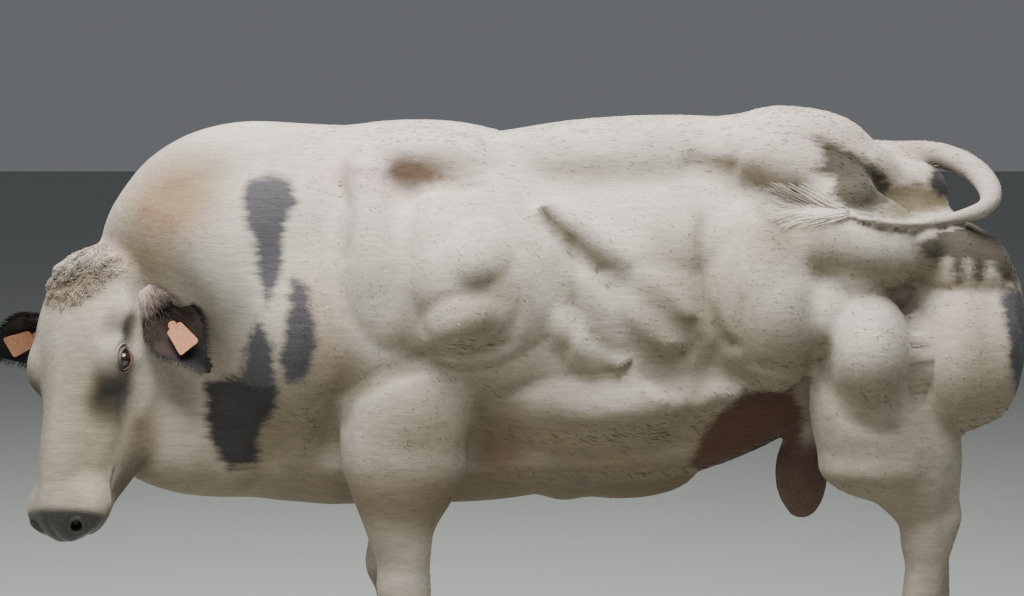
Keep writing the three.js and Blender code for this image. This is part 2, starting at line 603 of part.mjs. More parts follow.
// The tail's root parts from the rump, and its lengths from one another by a thin air gap.
const TAIL_CUTS = [0, 0.3, 0.58, 0.9995];
const tailSolids = TAIL_CUTS.slice(0, -1).map((from, i) =>
  less(tailLength(from + (i ? 0.0002 : 0), TAIL_CUTS[i + 1] - 0.0002, [6, 7, 9][i]), torsoGrown),
);

const earSolids = { left: less(earOf(EARS.left, 0), headGrown, neckGrown), right: less(earOf(EARS.right, 0), headGrown, neckGrown) };

// Lids: a soft rim round each eye, thick above and thin below
function lids(side) {
  const rim = Array.from({ length: 15 }, (_, i) => {
    const turn = (2 * Math.PI * i) / 14;
    const [long, high] = [19.5 * Math.cos(turn), 12.5 * Math.sin(turn)];
    const bulge = Math.sqrt(23 ** 2 - long ** 2 - high ** 2);
    return headPoint(EYE_AT[0] + long, side * (EYE_AT[1] + bulge), EYE_AT[2] + high);
  });
  const thick = (t) => 5.5 + 2.5 * Math.max(Math.sin(2 * Math.PI * t), 0);
  return tube(rim, 14, 5, thick, thick, scaled(HEAD_LEFT, side));
}

// Nostrils: a comma sunk in each side of the nose pad
const nostril = (side) => {
  const path = [[606, 24, -58], [584, 40, -66], [566, 58, -86], [552, 66, -100]];
  const points = path.map(([along, left, out]) => headPoint(along, side * left, out));
  return tube(points, 6, 8, (t) => 9 + 5 * Math.sin(Math.PI * t) - 4 * t, (t) => 14 - 5 * t, HEAD_OUT);
};

// The line of the mouth: a thin slit that goes a little way in round the muzzle
const MOUTH_AT = [520, 0, -134];
const headShrunk = wrap(head, HEAD_LINE, { ...HEAD_NET, air: -11 });
const placedInHead = (geometry, at) =>
  solidOf(
    geometry
      .applyMatrix4(
        new THREE.Matrix4().makeBasis(
          new THREE.Vector3(...HEAD_ALONG),
          new THREE.Vector3(...HEAD_LEFT),
          new THREE.Vector3(...HEAD_OUT),
        ),
      )
      .translate(...headPoint(...at)),
  );
const mouth = placedInHead(new THREE.BoxGeometry(180, 260, 3.6).rotateY(-0.1), MOUTH_AT).subtract(headShrunk);

// Curls of the poll and the forehead: rounded clumps sunk in the skin
const CURLS = 13;
const curls = Array.from({ length: CURLS }, (_, i) => {
  const turn = i * 2.39996;
  const far = Math.sqrt((i + 0.5) / CURLS);
  const [along, left] = [30 + 66 * far * Math.cos(turn), 96 * far * Math.sin(turn)];
  let out = 30;
  while (headUnion(along, Math.abs(left), out) > 0 && out > -120) out -= 2;
  const size = 20 + 4 * Math.cos(i * 1.9);
  const curl = new THREE.SphereGeometry(1, 6, 4).rotateX(Math.PI / 2).scale(size * 1.2, size, size * 0.6);
  return placedInHead(curl.rotateZ(i), [along, left, out - 2]);
});
const headSolid = less(
  joined([headBall, lids(1), lids(-1), joined(curls).subtract(neckGrown)]),
  eyeBall(1, GAP),
  eyeBall(-1, GAP),
  nostril(1),
  nostril(-1),
  mouth,
);

// Blank tags on a stud through each ear
function tagOf({ root, way, face, long }, back) {
  const along = unit(way);
  const open = unit(sub(face, scaled(along, dot(face, along))));
  const across = cross(along, open);
  const basis = new THREE.Matrix4().makeBasis(
    new THREE.Vector3(...across),
    new THREE.Vector3(...along),
    new THREE.Vector3(...open),
  );
  const place = (geometry, t, out) =>
    solidOf(geometry.applyMatrix4(basis).translate(...add(root, add(scaled(along, t * long), scaled(open, out)))));
  const lie = (geometry) => geometry.rotateX(Math.PI / 2);
  if (back) return place(lie(new THREE.CylinderGeometry(14, 14, 16, 14)), 0.45, -52);
  const panel = place(new THREE.BoxGeometry(54, 70, 3), 0.62, -12);
  const stud = place(lie(new THREE.CylinderGeometry(11, 11, 30, 14)), 0.45, -25);
  return panel.add(stud);
}

const group = new THREE.Group();
const coat = new THREE.MeshStandardMaterial({ color: 0xcfc4b8, roughness: 0.85, metalness: 0 });
const horn = new THREE.MeshStandardMaterial({ color: 0x4a4038, roughness: 0.5, metalness: 0 });
const wet = new THREE.MeshStandardMaterial({ color: 0x14100e, roughness: 0.08, metalness: 0 });
const dark = new THREE.MeshStandardMaterial({ color: 0x2a2522, roughness: 0.85, metalness: 0 });
const tag = new THREE.MeshStandardMaterial({ color: 0xd8834a, roughness: 0.5, metalness: 0 });

function node(name, solid, material) {
  const { vertProperties, triVerts } = solid.getMesh();
  const geometry = new THREE.BufferGeometry()
    .setAttribute("position", new THREE.BufferAttribute(vertProperties, 3))
    .setIndex(new THREE.BufferAttribute(triVerts, 1));
  const mesh = new THREE.Mesh(geometry, material);
  mesh.name = name;
  group.add(mesh);
}
node("torso", torsoPlain, coat);
node("neck", neckSolid, coat);
node("head", headSolid, coat);
for (const [name, solid] of Object.entries(legSolids)) {
  const foot = FEET[name];
  node(name, less(solid.intersect(aboveCoronet(foot.x, GAP)), torsoGrown), coat);
  for (const [word, side] of [["left", -1], ["right", 1]]) {
    const horny = claw(foot.x, foot.y, side, foot.size).subtract(aboveCoronet(foot.x, 0));
    node(`${name}_claw_${word}`, largest(horny), horn);
    const spur = muscle(
      [foot.back + 34, foot.y + side * 26, 132], [foot.back + 66, foot.y + side * 32, 84], 30, 28, 10,
    );
    const centre = [foot.back + 50, foot.y + side * 29, 108];
    const spurBall = wrap(spur.distance, [add(centre, [-2, 0, 4]), add(centre, [2, 0, -4])],
      { spokes: 6, rings: 2, fan: 1, up: [0, 1, 0] });
    const parting = wrap(name.startsWith("fore") ? foreLeg(Math.sign(foot.y)) : hindLeg(Math.sign(foot.y)),
      legLine(name.startsWith("fore") ? FORE_LINE : HIND_LINE,
        name.startsWith("fore") ? -FORE_STRIDE : HIND_STRIDE, Math.sign(foot.y)), { ...LEG_NET, air: GAP });
    node(`${name}_dewclaw_${word}`, less(spurBall, parting), horn);
  }
}
node("ear_left", earSolids.left, dark);
node("ear_right", earSolids.right, dark);
node("eye_left", eyeBall(1, 0), wet);
node("eye_right", eyeBall(-1, 0), wet);
for (const side of ["left", "right"]) {
  const parted = earOf(EARS[side], GAP);
  node(`ear_tag_${side}`, less(tagOf(EARS[side], false), parted, headGrown, neckGrown), tag);
  node(`ear_tag_button_${side}`, less(tagOf(EARS[side], true), parted, headGrown, neckGrown), tag);
}
["tail_root", "tail_bend", "tail_end"].forEach((name, i) => node(name, tailSolids[i], coat));
const tailTip = tailLength(0.58, 1, 9, GAP);
node("tail_switch", less(joined(switchLocks), torsoGrown, tailTip), coat);
node("scrotum", scrotum, coat);
node("sheath", sheath, coat);

// The origin stands on the floor under the middle of the animal's box.
const bounds = new THREE.Box3().setFromObject(group);
const middle = bounds.getCenter(new THREE.Vector3());
for (const mesh of group.children) mesh.geometry.translate(-middle.x, -middle.y, -bounds.min.z);

export default group;
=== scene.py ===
"""A double-muscled Belgian Blue bull, life size, as a still standing model.

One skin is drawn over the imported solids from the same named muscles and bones, then
folded, parted for the eyes, nostrils and mouth, and dressed with short hair, curls on
the poll, fringed ears and a tail switch. Lengths in the lists are millimetres.
"""

import math

import bmesh
import bpy
import numpy as np
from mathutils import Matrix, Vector


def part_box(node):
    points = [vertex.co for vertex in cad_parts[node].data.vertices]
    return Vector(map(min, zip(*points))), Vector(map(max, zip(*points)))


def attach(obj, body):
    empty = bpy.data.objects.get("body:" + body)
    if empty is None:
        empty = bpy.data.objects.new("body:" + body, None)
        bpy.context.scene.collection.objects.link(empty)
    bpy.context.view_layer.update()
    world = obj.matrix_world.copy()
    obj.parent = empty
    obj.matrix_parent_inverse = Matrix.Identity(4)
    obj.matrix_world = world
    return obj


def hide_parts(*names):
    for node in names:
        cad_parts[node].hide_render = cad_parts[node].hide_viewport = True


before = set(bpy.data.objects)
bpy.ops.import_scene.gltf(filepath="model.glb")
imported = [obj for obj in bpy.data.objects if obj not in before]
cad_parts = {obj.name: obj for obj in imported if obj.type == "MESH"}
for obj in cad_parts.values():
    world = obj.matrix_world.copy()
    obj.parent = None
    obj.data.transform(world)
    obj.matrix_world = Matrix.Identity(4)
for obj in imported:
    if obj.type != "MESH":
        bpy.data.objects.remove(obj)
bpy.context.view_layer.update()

MM = 0.001
RANDOM = np.random.default_rng(29)

# Driving sizes, as the solids have them
FORE_TRACK = 205
HIND_TRACK = 190
HIND_STRIDE = 45
FORE_STRIDE = 28
KNEE = 415
HOCK = 545
FETLOCK = 152
CORONET = 84
HEAD_YAW = math.radians(53)
HEAD_PITCH = math.radians(70)
HEAD_ROLL = math.radians(8)
POLL = np.array([-984.0, -168.0, 1154.0])
EYE_RADIUS = 21
EYE_AT = (212, 122, -68)
NOSTRIL_AT = np.array([578.0, 50.0, -72.0])
COAT_DEPTH = 2.5

FLESH = (
    "torso",
    "neck",
    "head",
    "foreleg_left",
    "foreleg_right",
    "hindleg_left",
    "hindleg_right",
    "tail_root",
    "tail_bend",
    "tail_end",
    "scrotum",
    "sheath",
)


def unit(vector):
    return vector / np.linalg.norm(vector)


def each_unit(vectors):
    return vectors / np.maximum(np.linalg.norm(vectors, axis=-1, keepdims=True), 1e-6)


def smoothstep(value, low, high):
    t = np.clip((value - low) / (high - low), 0, 1)
    return t * t * (3 - 2 * t)


# The head's own frame: down the face, to the animal's left, and out of the forehead
FACE_DOWN = np.array(
    [
        -math.cos(HEAD_PITCH) * math.cos(HEAD_YAW),
        -math.cos(HEAD_PITCH) * math.sin(HEAD_YAW),
        -math.sin(HEAD_PITCH),
    ]
)
FACE_LEFT = np.array([math.sin(HEAD_YAW), -math.cos(HEAD_YAW), 0.0])
HEAD_ALONG = FACE_DOWN * math.cos(HEAD_ROLL) + FACE_LEFT * math.sin(HEAD_ROLL)
HEAD_LEFT = FACE_LEFT * math.cos(HEAD_ROLL) - FACE_DOWN * math.sin(HEAD_ROLL)
HEAD_OUT = np.cross(HEAD_ALONG, HEAD_LEFT)
HEAD_AXES = np.array([HEAD_ALONG, HEAD_LEFT, HEAD_OUT])


def head_point(along, left, out):
    return POLL + along * HEAD_ALONG + left * HEAD_LEFT + out * HEAD_OUT


def in_head(points):
    return (points - POLL) @ HEAD_AXES.T


def box_centre(node):
    low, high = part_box(node)
    return np.array((low + high) / 2) / MM


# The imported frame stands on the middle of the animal's box, the lists on its withers.
SHIFT = head_point(*EYE_AT) - box_centre("eye_left")


def to_frame(points):
    """From the lists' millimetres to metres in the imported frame."""
    return (np.asarray(points, float) - SHIFT) * MM


def to_lists(points):
    return np.asarray(points, float) / MM + SHIFT


# Forms of flesh and bone, as in the solids


def muscle(start, end, wide, thick, blend=45, out=(0, 1, 0)):
    """An ellipsoid from one end to the other, wide as seen from outside and thick outwards."""
    start, end, out = (np.array(p, float) for p in (start, end, out))
    along = unit(end - start)
    outward = unit(out - along * (out @ along))
    across = np.cross(outward, along)
    half = np.array([np.linalg.norm(end - start), wide, thick]) / 2
    axes = np.array([along, across, outward])
    return {"centre": (start + end) / 2, "axes": axes, "half": half, "blend": blend}


def mass(centre, half, blend=60):
    """A ball of flesh with its own three half sizes."""
    x, y, z = centre
    a, b, c = half
    return muscle((x - a, y, z), (x + a, y, z), 2 * c, 2 * b, blend)


def bone(start, end, start_radius, end_radius, blend=30):
    """A limb bone with its covering, tapering from one radius to another."""
    start, end = np.array(start, float), np.array(end, float)
    radii = (start_radius, end_radius)
    return {"start": start, "line": end - start, "radii": radii, "blend": blend}


def distance_to(form, points):
    if "axes" in form:
        q = (points - form["centre"]) @ form["axes"].T / form["half"]
        near = np.linalg.norm(q, axis=1)
        steep = np.maximum(np.linalg.norm(q / form["half"], axis=1), 1e-9)
        return near * (near - 1) / steep
    q = points - form["start"]
    line = form["line"]
    t = np.clip(q @ line / (line @ line), 0, 1)
    start_radius, end_radius = form["radii"]
    away = np.linalg.norm(q - t[:, None] * line, axis=1)
    return away - start_radius - (end_radius - start_radius) * t


def melted(a, b, width):
    """The smooth lesser of two distances."""
    h = np.maximum(width - np.abs(a - b), 0) / width
    return np.minimum(a, b) - h * h * width / 4


def union(points, forms, hollows=()):
    d = distance_to(forms[0], points)
    for form in forms[1:]:
        d = melted(d, distance_to(form, points), form["blend"])
    for hollow in hollows:
        d = -melted(-d, distance_to(hollow, points), hollow["blend"])
    return d


# The trunk's left half with y outwards
TRUNK = [
    mass((-120, 0, 1035), (560, 300, 400), 60),
    mass((230, 0, 1010), (540, 318, 372), 120),
    mass((520, 0, 1130), (400, 262, 325), 120),
    mass((760, 0, 1130), (300, 250, 272), 120),
    mass((-400, 0, 1010), (250, 240, 360), 120),
    mass((-480, 0, 770), (190, 150, 165), 90),
    muscle((-560, 0, 700), (60, 0, 672), 170, 300, 90),
    muscle((-520, 0, 1375), (0, 0, 1400), 180, 170, 70),
    muscle((-170, 92, 1372), (720, 92, 1412), 190, 190, 45),
    muscle((-30, 150, 1392), (-330, 130, 1412), 130, 170, 30),
]
SHOULDER = [
    muscle((-60, 150, 1390), (-85, 250, 820), 500, 300, 45),
    muscle((-330, 140, 1420), (-320, 240, 850), 230, 300, 45),
    muscle((-200, 215, 1330), (-100, 295, 1010), 210, 190, 28),
    muscle((-160, 288, 1235), (-105, 305, 985), 205, 168, 22),
    muscle((-5, 292, 1120), (-215, 298, 955), 120, 160, 20),
    muscle((-320, 225, 1150), (-290, 250, 830), 210, 225, 30),
    muscle((-430, 165, 1180), (-500, 215, 830), 220, 230, 40),
    muscle((-200, 225, 960), (-250, 215, 700), 300, 200, 35),
]
RIBS_AND_FLANK = [
    muscle((30, 258, 1330), (420, 285, 1030), 90, 80, 60),
    muscle((60, 262, 1215), (420, 285, 930), 90, 80, 60),
    muscle((40, 262, 1090), (360, 285, 850), 90, 80, 60),
    muscle((120, 230, 830), (560, 225, 880), 130, 130, 60),
    muscle((430, 205, 800), (690, 240, 900), 120, 90, 60),
]
RUMP_AND_THIGH = [
    muscle((455, 165, 1420), (890, 100, 1300), 260, 250, 50),
    muscle((560, 175, 1470), (790, 120, 1430), 110, 150, 40),
    muscle((545, 190, 1330), (600, 265, 840), 270, 260, 40),
    muscle((620, 235, 1270), (960, 235, 1160), 300, 260, 45),
    muscle((730, 245, 1190), (800, 305, 840), 250, 230, 24),
    muscle((975, 170, 1290), (1005, 240, 760), 320, 250, 26),
    muscle((950, 110, 1270), (1010, 105, 860), 300, 190, 40),
    muscle((800, 130, 1000), (960, 130, 700), 330, 210, 60),
    muscle((740, 235, 900), (880, 215, 680), 280, 190, 60),
    muscle((790, 25, 1405), (930, 18, 1345), 90, 90, 40),
    muscle((850, 70, 1345), (990, 78, 1305), 120, 120, 34),
]
TRUNK_FORMS = TRUNK + SHOULDER + RIBS_AND_FLANK + RUMP_AND_THIGH
TRUNK_HOLLOWS = [
    muscle((430, 335, 1300), (620, 335, 1395), 70, 130, 50),
    muscle((1100, 0, 1330), (1200, 0, 760), 240, 60, 70),
]

# Bulges of single muscles as drawn on a side view: centre x z, half sizes, tilt, height.
# Where two meet, the higher one shows, with a crease between them.
RELIEF = [
    (-103, 1165, 246, 235, 0, 44),
    (-75, 1190, 112, 112, -14, 66),
    (-103, 1045, 128, 82, 16, 66),
    (-268, 1190, 125, 220, 8, 36),
    (-224, 1405, 200, 78, -9, 48),
    (-226, 812, 155, 125, 0, 46),
    (235, 1163, 138, 48, -49, 14),
    (172, 1084, 140, 46, -54, 23),
    (134, 990, 120, 42, -58, 19),
    (300, 1290, 330, 170, -7, 40),
    (330, 1106, 110, 170, 0, 22),
    (200, 812, 262, 96, 0, 32),
    (579, 1112, 178, 246, 0, 44),
    (606, 1062, 124, 156, 0, 54),
    (800, 955, 126, 156, 0, 64),
    (1006, 950, 128, 192, 0, 62),
    (736, 1195, 200, 104, -8, 52),
    (640, 1390, 184, 110, -22, 46),
    (986, 1185, 130, 96, -20, 52),
    (788, 740, 150, 120, 0, 32),
    (513, 1450, 56, 44, 0, 46),
]
VALLEY = 46  # how far the flank sinks where no muscle bulges
ROUNDNESS = 0.85  # under 1, a bulge is fuller at its rim


def side_place(points, centre, half, tilt):
    """Places in a tilted ellipse on the side view, along and across it, 1 at its rim."""
    turn = math.radians(tilt)
    dx, dz = points[:, 0] - centre[0], points[:, 2] - centre[1]
    u = (dx * math.cos(turn) + dz * math.sin(turn)) / half[0]
    v = (dz * math.cos(turn) - dx * math.sin(turn)) / half[1]
    return u, v


def relief(points):
    """How far the single muscles stand out of the trunk, or the flank sinks between them."""
    x, y, z = points.T
    height = np.zeros(len(points))
    for centre_x, centre_z, half_x, half_z, tilt, high in RELIEF:
        u, v = side_place(points, (centre_x, centre_z), (half_x, half_z), tilt)
        height = np.maximum(height, high * np.clip(1 - u * u - v * v, 0, 1) ** ROUNDNESS)
    inland = smoothstep(x, 1130, 1030) * smoothstep(x, -470, -380) * smoothstep(z, 680, 760)
    topline = 1 - 0.85 * smoothstep(z, 1290, 1400)
    return (height - VALLEY * inland) * topline * smoothstep(np.abs(y), 90, 190)


# The legs, left with y outwards, before the stride
FORELEG = [
    muscle((-250, 215, 960), (-250, 212, 560), 280, 215, 40),
    muscle((-150, 220, 900), (-235, 205, 600), 150, 160, 40),
    muscle((-335, 218, 830), (-285, 210, 500), 110, 130, 35),
    bone((-262, FORE_TRACK, 640), (-264, FORE_TRACK, KNEE), 84, 52, 40),
    muscle((-272, FORE_TRACK, KNEE + 70), (-266, FORE_TRACK, KNEE - 62), 116, 116, 30),
    bone((-262, FORE_TRACK, KNEE - 20), (-258, FORE_TRACK, FETLOCK + 40), 41, 37, 25),
    bone((-240, FORE_TRACK, KNEE - 30), (-236, FORE_TRACK, FETLOCK + 40), 24, 24, 25),
    muscle((-262, FORE_TRACK, FETLOCK + 52), (-262, FORE_TRACK, FETLOCK - 50), 108, 112, 25),
    bone((-262, FORE_TRACK, FETLOCK), (-296, FORE_TRACK, CORONET + 5), 46, 50, 22),
]
HINDLEG = [
    muscle((730, 235, 980), (865, 215, 640), 250, 220, 50),
    muscle((850, 215, 900), (950, HIND_TRACK + 5, 590), 220, 175, 45),
    bone((870, 205, 740), (960, HIND_TRACK, 570), 88, 52, 40),
    bone((960, 200, 760), (1006, HIND_TRACK, HOCK + 48), 44, 25, 30),
    muscle((1010, HIND_TRACK, HOCK + 70), (985, HIND_TRACK, HOCK - 60), 66, 62, 25),
    muscle((945, HIND_TRACK, HOCK + 62), (962, HIND_TRACK, HOCK - 70), 104, 96, 28),
    bone((962, HIND_TRACK, HOCK - 30), (950, HIND_TRACK, FETLOCK + 45), 43, 38, 25),
    bone((986, HIND_TRACK, HOCK - 40), (974, HIND_TRACK, FETLOCK + 45), 25, 24, 25),
    muscle((952, HIND_TRACK, FETLOCK + 58), (950, HIND_TRACK, FETLOCK - 45), 106, 106, 25),
    bone((950, HIND_TRACK, FETLOCK + 5), (914, HIND_TRACK, CORONET + 8), 44, 49, 22),
]

NECK = [
    mass((-480, -5, 1090), (240, 258, 350), 60),
    muscle((-460, -10, 1090), (-900, -110, 1010), 560, 480, 90),
    muscle((-620, -40, 1080), (-930, -135, 1010), 420, 400, 80),
    muscle((-360, 0, 1350), (-860, -75, 1300), 300, 300, 60),
    muscle((-640, -40, 1330), (-905, -110, 1140), 270, 280, 50),
    muscle((-430, -150, 1300), (-820, -185, 1130), 240, 190, 45),
    muscle((-430, 135, 1300), (-820, 40, 1130), 240, 190, 45),
    muscle((-400, -210, 1180), (-520, -235, 820), 250, 170, 40),
    muscle((-400, 205, 1180), (-520, 225, 820), 250, 170, 40),
    muscle((-480, -190, 840), (-850, -200, 940), 190, 150, 45),
    muscle((-480, 180, 840), (-800, 40, 930), 190, 150, 45),
    muscle((-870, -185, 1165), (-715, -225, 1128), 70, 90, 24, (0, -1, 0.4)),
]
THROAT = [
    muscle((-420, -10, 745), (-900, -130, 772), 270, 210, 60),
    muscle((-470, 0, 690), (-880, -145, 712), 150, 130, 50),
]
NAPE = -58
NAPE_TILT = (0.68, 0.74)

# The head's left half, as along, left and out
HEAD = [
    mass((120, 0, -95), (150, 118, 92), 50),
    mass((8, 0, -80), (72, 110, 66), 50),
    mass((145, 0, -58), (170, 136, 60), 45),
    mass((318, 0, -112), (190, 92, 100), 60),
    mass((465, 0, -92), (150, 74, 72), 50),
    mass((385, 0, -50), (190, 48, 42), 35),
    mass((545, 0, -82), (58, 96, 56), 34),
    mass((528, 54, -90), (62, 50, 50), 26),
    mass((528, 0, -152), (58, 62, 30), 14),
    muscle((200, 84, -246), (515, 34, -158), 98, 78, 40),
    mass((210, 88, -198), (122, 48, 120), 36),
    mass((360, 56, -128), (105, 34, 48), 40),
    muscle((240, 112, -88), (420, 70, -96), 44, 40, 26),
    mass((215, 104, -58), (60, 40, 42), 28),
    muscle((40, 70, -120), (175, 98, -120), 110, 60, 35),
    mass((90, 0, -200), (150, 96, 120), 70),
]
HEAD_HOLLOWS = [
    mass((150, 144, -84), (34, 20, 26), 30),
    mass((275, 134, -116), (42, 18, 22), 40),
    mass((212, 156, -70), (26, 14, 18), 12),
]

SCROTUM = [
    muscle((674, 20, 930), (672, 24, 700), 84, 90, 40),
    muscle((672, 36, 760), (668, 34, 556), 118, 84, 30),
]
SHEATH = [
    mass((250, 0, 660), (170, 46, 62), 40),
    mass((120, 0, 648), (60, 36, 52), 30),
]


def mirrored(points, middle=1):
    half = points.copy()
    half[:, middle] = np.abs(half[:, middle])
    return half


def neck_field(points):
    along, _, out = in_head(points).T
    nape = along * NAPE_TILT[0] + out * NAPE_TILT[1] - NAPE
    cut = -melted(-union(points, NECK), -nape, 60)
    return melted(cut, union(points, THROAT), 60)


def body_field(points):
    """Trunk and neck in one, as the solids wrap them."""
    trunk = union(mirrored(points), TRUNK_FORMS, TRUNK_HOLLOWS) - relief(points)
    ahead = points[:, 0] < 0
    d = trunk.copy()
    d[ahead] = melted(trunk[ahead], neck_field(points[ahead]), 60)
    return d


def head_field(points):
    return union(mirrored(in_head(points)), HEAD, HEAD_HOLLOWS)


def leg_field(points, forms, stride, side):
    """One leg, carried along by its stride from nothing at the top to all of it at the foot."""
    own = points * (1, side, 1)
    own[:, 0] -= stride * side * (1 - smoothstep(points[:, 2], 250, 900))
    return np.where(own[:, 1] < 0, 100 - own[:, 1], union(own, forms))


# Each foot's coronet plane, under which the horn begins
CORONET_TILT = 0.3
FEET = {
    "foreleg_left": (-282 + FORE_STRIDE, -FORE_TRACK),
    "foreleg_right": (-282 - FORE_STRIDE, FORE_TRACK),
    "hindleg_left": (926 - HIND_STRIDE, -HIND_TRACK),
    "hindleg_right": (926 + HIND_STRIDE, HIND_TRACK),
}


def above_coronet(points, foot):
    x = FEET[foot][0]
    rise = (points[:, 2] - CORONET + 14) * math.cos(CORONET_TILT)
    return rise + (points[:, 0] - x) * math.sin(CORONET_TILT)


# The tail's path, out of the rump, round to the left and forwards along the thigh


def flank_y(x, z):
    """Where the near side's surface lies, looking in along y."""
    y = -520.0
    for _ in range(400):
        d = body_field(np.array([[x, y, z]], float))[0]
        if d <= 0.5 or y >= 0:
            break
        y += max(d * 0.5, 0.4)
    return y


def lying(x, z, radius):
    return (x, flank_y(x, z) - radius, z)


def smooth_path(points, count=160):
    """A centripetal curve through some points, evenly stepped."""
    points = np.array(points, float)
    ends = [2 * points[0] - points[1], *points, 2 * points[-1] - points[-2]]
    found = []
    for i in range(len(ends) - 3):
        a, b, c, d = ends[i : i + 4]
        spans = [max(np.linalg.norm(q - p) ** 0.5, 1e-6) for p, q in ((a, b), (b, c), (c, d))]
        for t in np.linspace(0, spans[1], 24, endpoint=False):
            ab = a + (b - a) * (t + spans[0]) / spans[0]
            bc = b + (c - b) * t / spans[1]
            cd = c + (d - c) * (t - spans[1]) / spans[2]
            abc = ab + (bc - ab) * (t + spans[0]) / (spans[0] + spans[1])
            bcd = bc + (cd - bc) * t / (spans[1] + spans[2])
            found.append(abc + (bcd - abc) * t / spans[1])
    found = np.array([*found, points[-1]])
    run = np.concatenate([[0], np.cumsum(np.linalg.norm(np.diff(found, axis=0), axis=1))])
    even = np.linspace(0, run[-1], count)
    return np.stack([np.interp(even, run, found[:, k]) for k in range(3)], axis=1)


TAIL_PATH = smooth_path(
    [
        (842, 0, 1378),
        (915, -2, 1398),
        (985, -14, 1394),
        (1046, -62, 1368),
        (1074, -150, 1322),
        (1044, -245, 1284),
        lying(972, 1260, 26),
        lying(885, 1252, 22),
        lying(790, 1262, 17),
        lying(700, 1282, 12),
    ]
)


def tail_thickness(t):
    return 34 - 14 * t - 14 * smoothstep(t, 0.35, 0.75)


def nearest_on_path(points, path):
    """The distance to a path of points and how far along it that is, from 0 to 1."""
    best = np.full(len(points), 1e9)
    where = np.zeros(len(points))
    for i in range(len(path) - 1):
        line = path[i + 1] - path[i]
        q = points - path[i]
        t = np.clip(q @ line / (line @ line), 0, 1)
        d = np.linalg.norm(q - t[:, None] * line, axis=1)
        closer = d < best
        best[closer] = d[closer]
        where[closer] = (i + t[closer]) / (len(path) - 1)
    return best, where


def tail_field(points):
    d = np.full(len(points), 400.0)
    low, high = TAIL_PATH.min(0) - 120, TAIL_PATH.max(0) + 120
    close = np.all((points > low) & (points < high), axis=1)
    away, t = nearest_on_path(points[close], TAIL_PATH[::3])
    d[close] = away - tail_thickness(t)
    return d


def skin_field(points):
    """The whole skin: trunk, neck, head, legs, tail, scrotum and sheath, less the coat's depth."""
    d = body_field(points)
    near_head = points[:, 0] < -560
    d[near_head] = melted(d[near_head], head_field(points[near_head]), 34)
    low = points[:, 2] < 1000
    below = points[low]
    legs = d[low]
    for foot, (_, y) in FEET.items():
        fore = foot.startswith("fore")
        forms, stride = (FORELEG, -FORE_STRIDE) if fore else (HINDLEG, HIND_STRIDE)
        legs = melted(legs, leg_field(below, forms, stride, math.copysign(1, y)), 46)
    half = mirrored(below)
    legs = melted(legs, union(half, SCROTUM), 26)
    legs = melted(legs, union(half, SHEATH), 34)
    d[low] = legs
    tail = tail_field(points)
    root = smoothstep(points[:, 0], 1010, 900) * smoothstep(np.abs(points[:, 1]), 120, 60)
    d = melted(d, tail, 7 + 33 * root)
    d += COAT_DEPTH
    for foot, (x, y) in FEET.items():
        mine = (np.abs(points[:, 0] - x) < 150) & (points[:, 1] * y > 0) & (points[:, 2] < 200)
        d[mine] = np.maximum(d[mine], -above_coronet(points[mine], foot) - 2)
    return d


def slope(points, field, step=1.5):
    """Which way a field rises, and how steeply."""
    centre = field(points)
    rise = np.stack([field(points + step * np.eye(3)[k]) - centre for k in range(3)], axis=1)
    return centre, rise / step


def settle(points, field, rounds, most=12.0):
    """Moves points along the slope until they lie on the field's surface."""
    points = points.copy()
    for _ in range(rounds):
        d, rise = slope(points, field)
        steep = np.maximum((rise**2).sum(1), 0.15)
        move = rise * (d / steep)[:, None]
        size = np.maximum(np.linalg.norm(move, axis=1), 1e-9)
        points -= move * np.minimum(1, most / size)[:, None]
    return points


# Creases between the muscles, drawn as on a side view, with width and depth
CREASES = [
    (((126, 1240), (136, 1160), (134, 1040), (110, 930)), 15, 6),
    (((-202, 1044), (-169, 976), (-92, 962), (-10, 990), (24, 1100)), 13, 6),
    (((-466, 842), (-334, 897), (-169, 974)), 15, 6),
    (((-383, 776), (-356, 864), (-257, 916), (-176, 940)), 13, 7),
    (((-52, 900), (-80, 800), (-116, 700)), 17, 9),
    (((-410, 1390), (-352, 1271), (-370, 1150)), 14, 6),
    (((-200, 1340), (-120, 1332), (-40, 1342)), 15, 6),
    (((425, 1310), (414, 1194), (424, 1084), (462, 1000), (510, 962)), 15, 10),
    (((506, 1130), (502, 1029), (528, 946), (612, 926), (691, 960)), 13, 5),
    (((690, 1040), (698, 900), (740, 826), (810, 800), (884, 812)), 14, 8),
    (((897, 1080), (902, 974), (893, 830)), 13, 7),
    (((640, 1450), (777, 1386), (840, 1322), (920, 1300), (985, 1284)), 14, 8),
    (((374, 1390), (440, 1378), (510, 1366)), 26, 10),
    (((462, 1000), (420, 886), (340, 730)), 22, 7),
]


def crease_depth(points):
    """How deep the creases press the skin in, for both flanks."""
    depth = np.zeros(len(points))
    flat = points[:, [0, 2]]
    side = smoothstep(np.abs(points[:, 1]), 110, 190) * smoothstep(points[:, 2], 700, 780)
    for path, width, deep in CREASES:
        line = np.array(path, float)
        away, t = nearest_on_path(flat, line)
        ends = smoothstep(t, 0, 0.15) * smoothstep(1 - t, 0, 0.15)
        depth += deep * np.exp(-((away / width) ** 2)) * ends
    return depth * side



def mesh_points(mesh, what="co"):
    found = np.empty(len(mesh.vertices) * 3, np.float32)
    mesh.vertices.foreach_get(what, found)
    return found.reshape(-1, 3).astype(float)


def mesh_from(bm, name):
    mesh = bpy.data.meshes.new(name)
    bm.to_mesh(mesh)
    bm.free()
    return mesh


def in_scene(name, data):
    thing = bpy.data.objects.new(name, data)
    bpy.context.scene.collection.objects.link(thing)
    return thing


def place_points(mesh, points):
    mesh.vertices.foreach_set("co", np.asarray(points, np.float32).ravel())
    mesh.update()


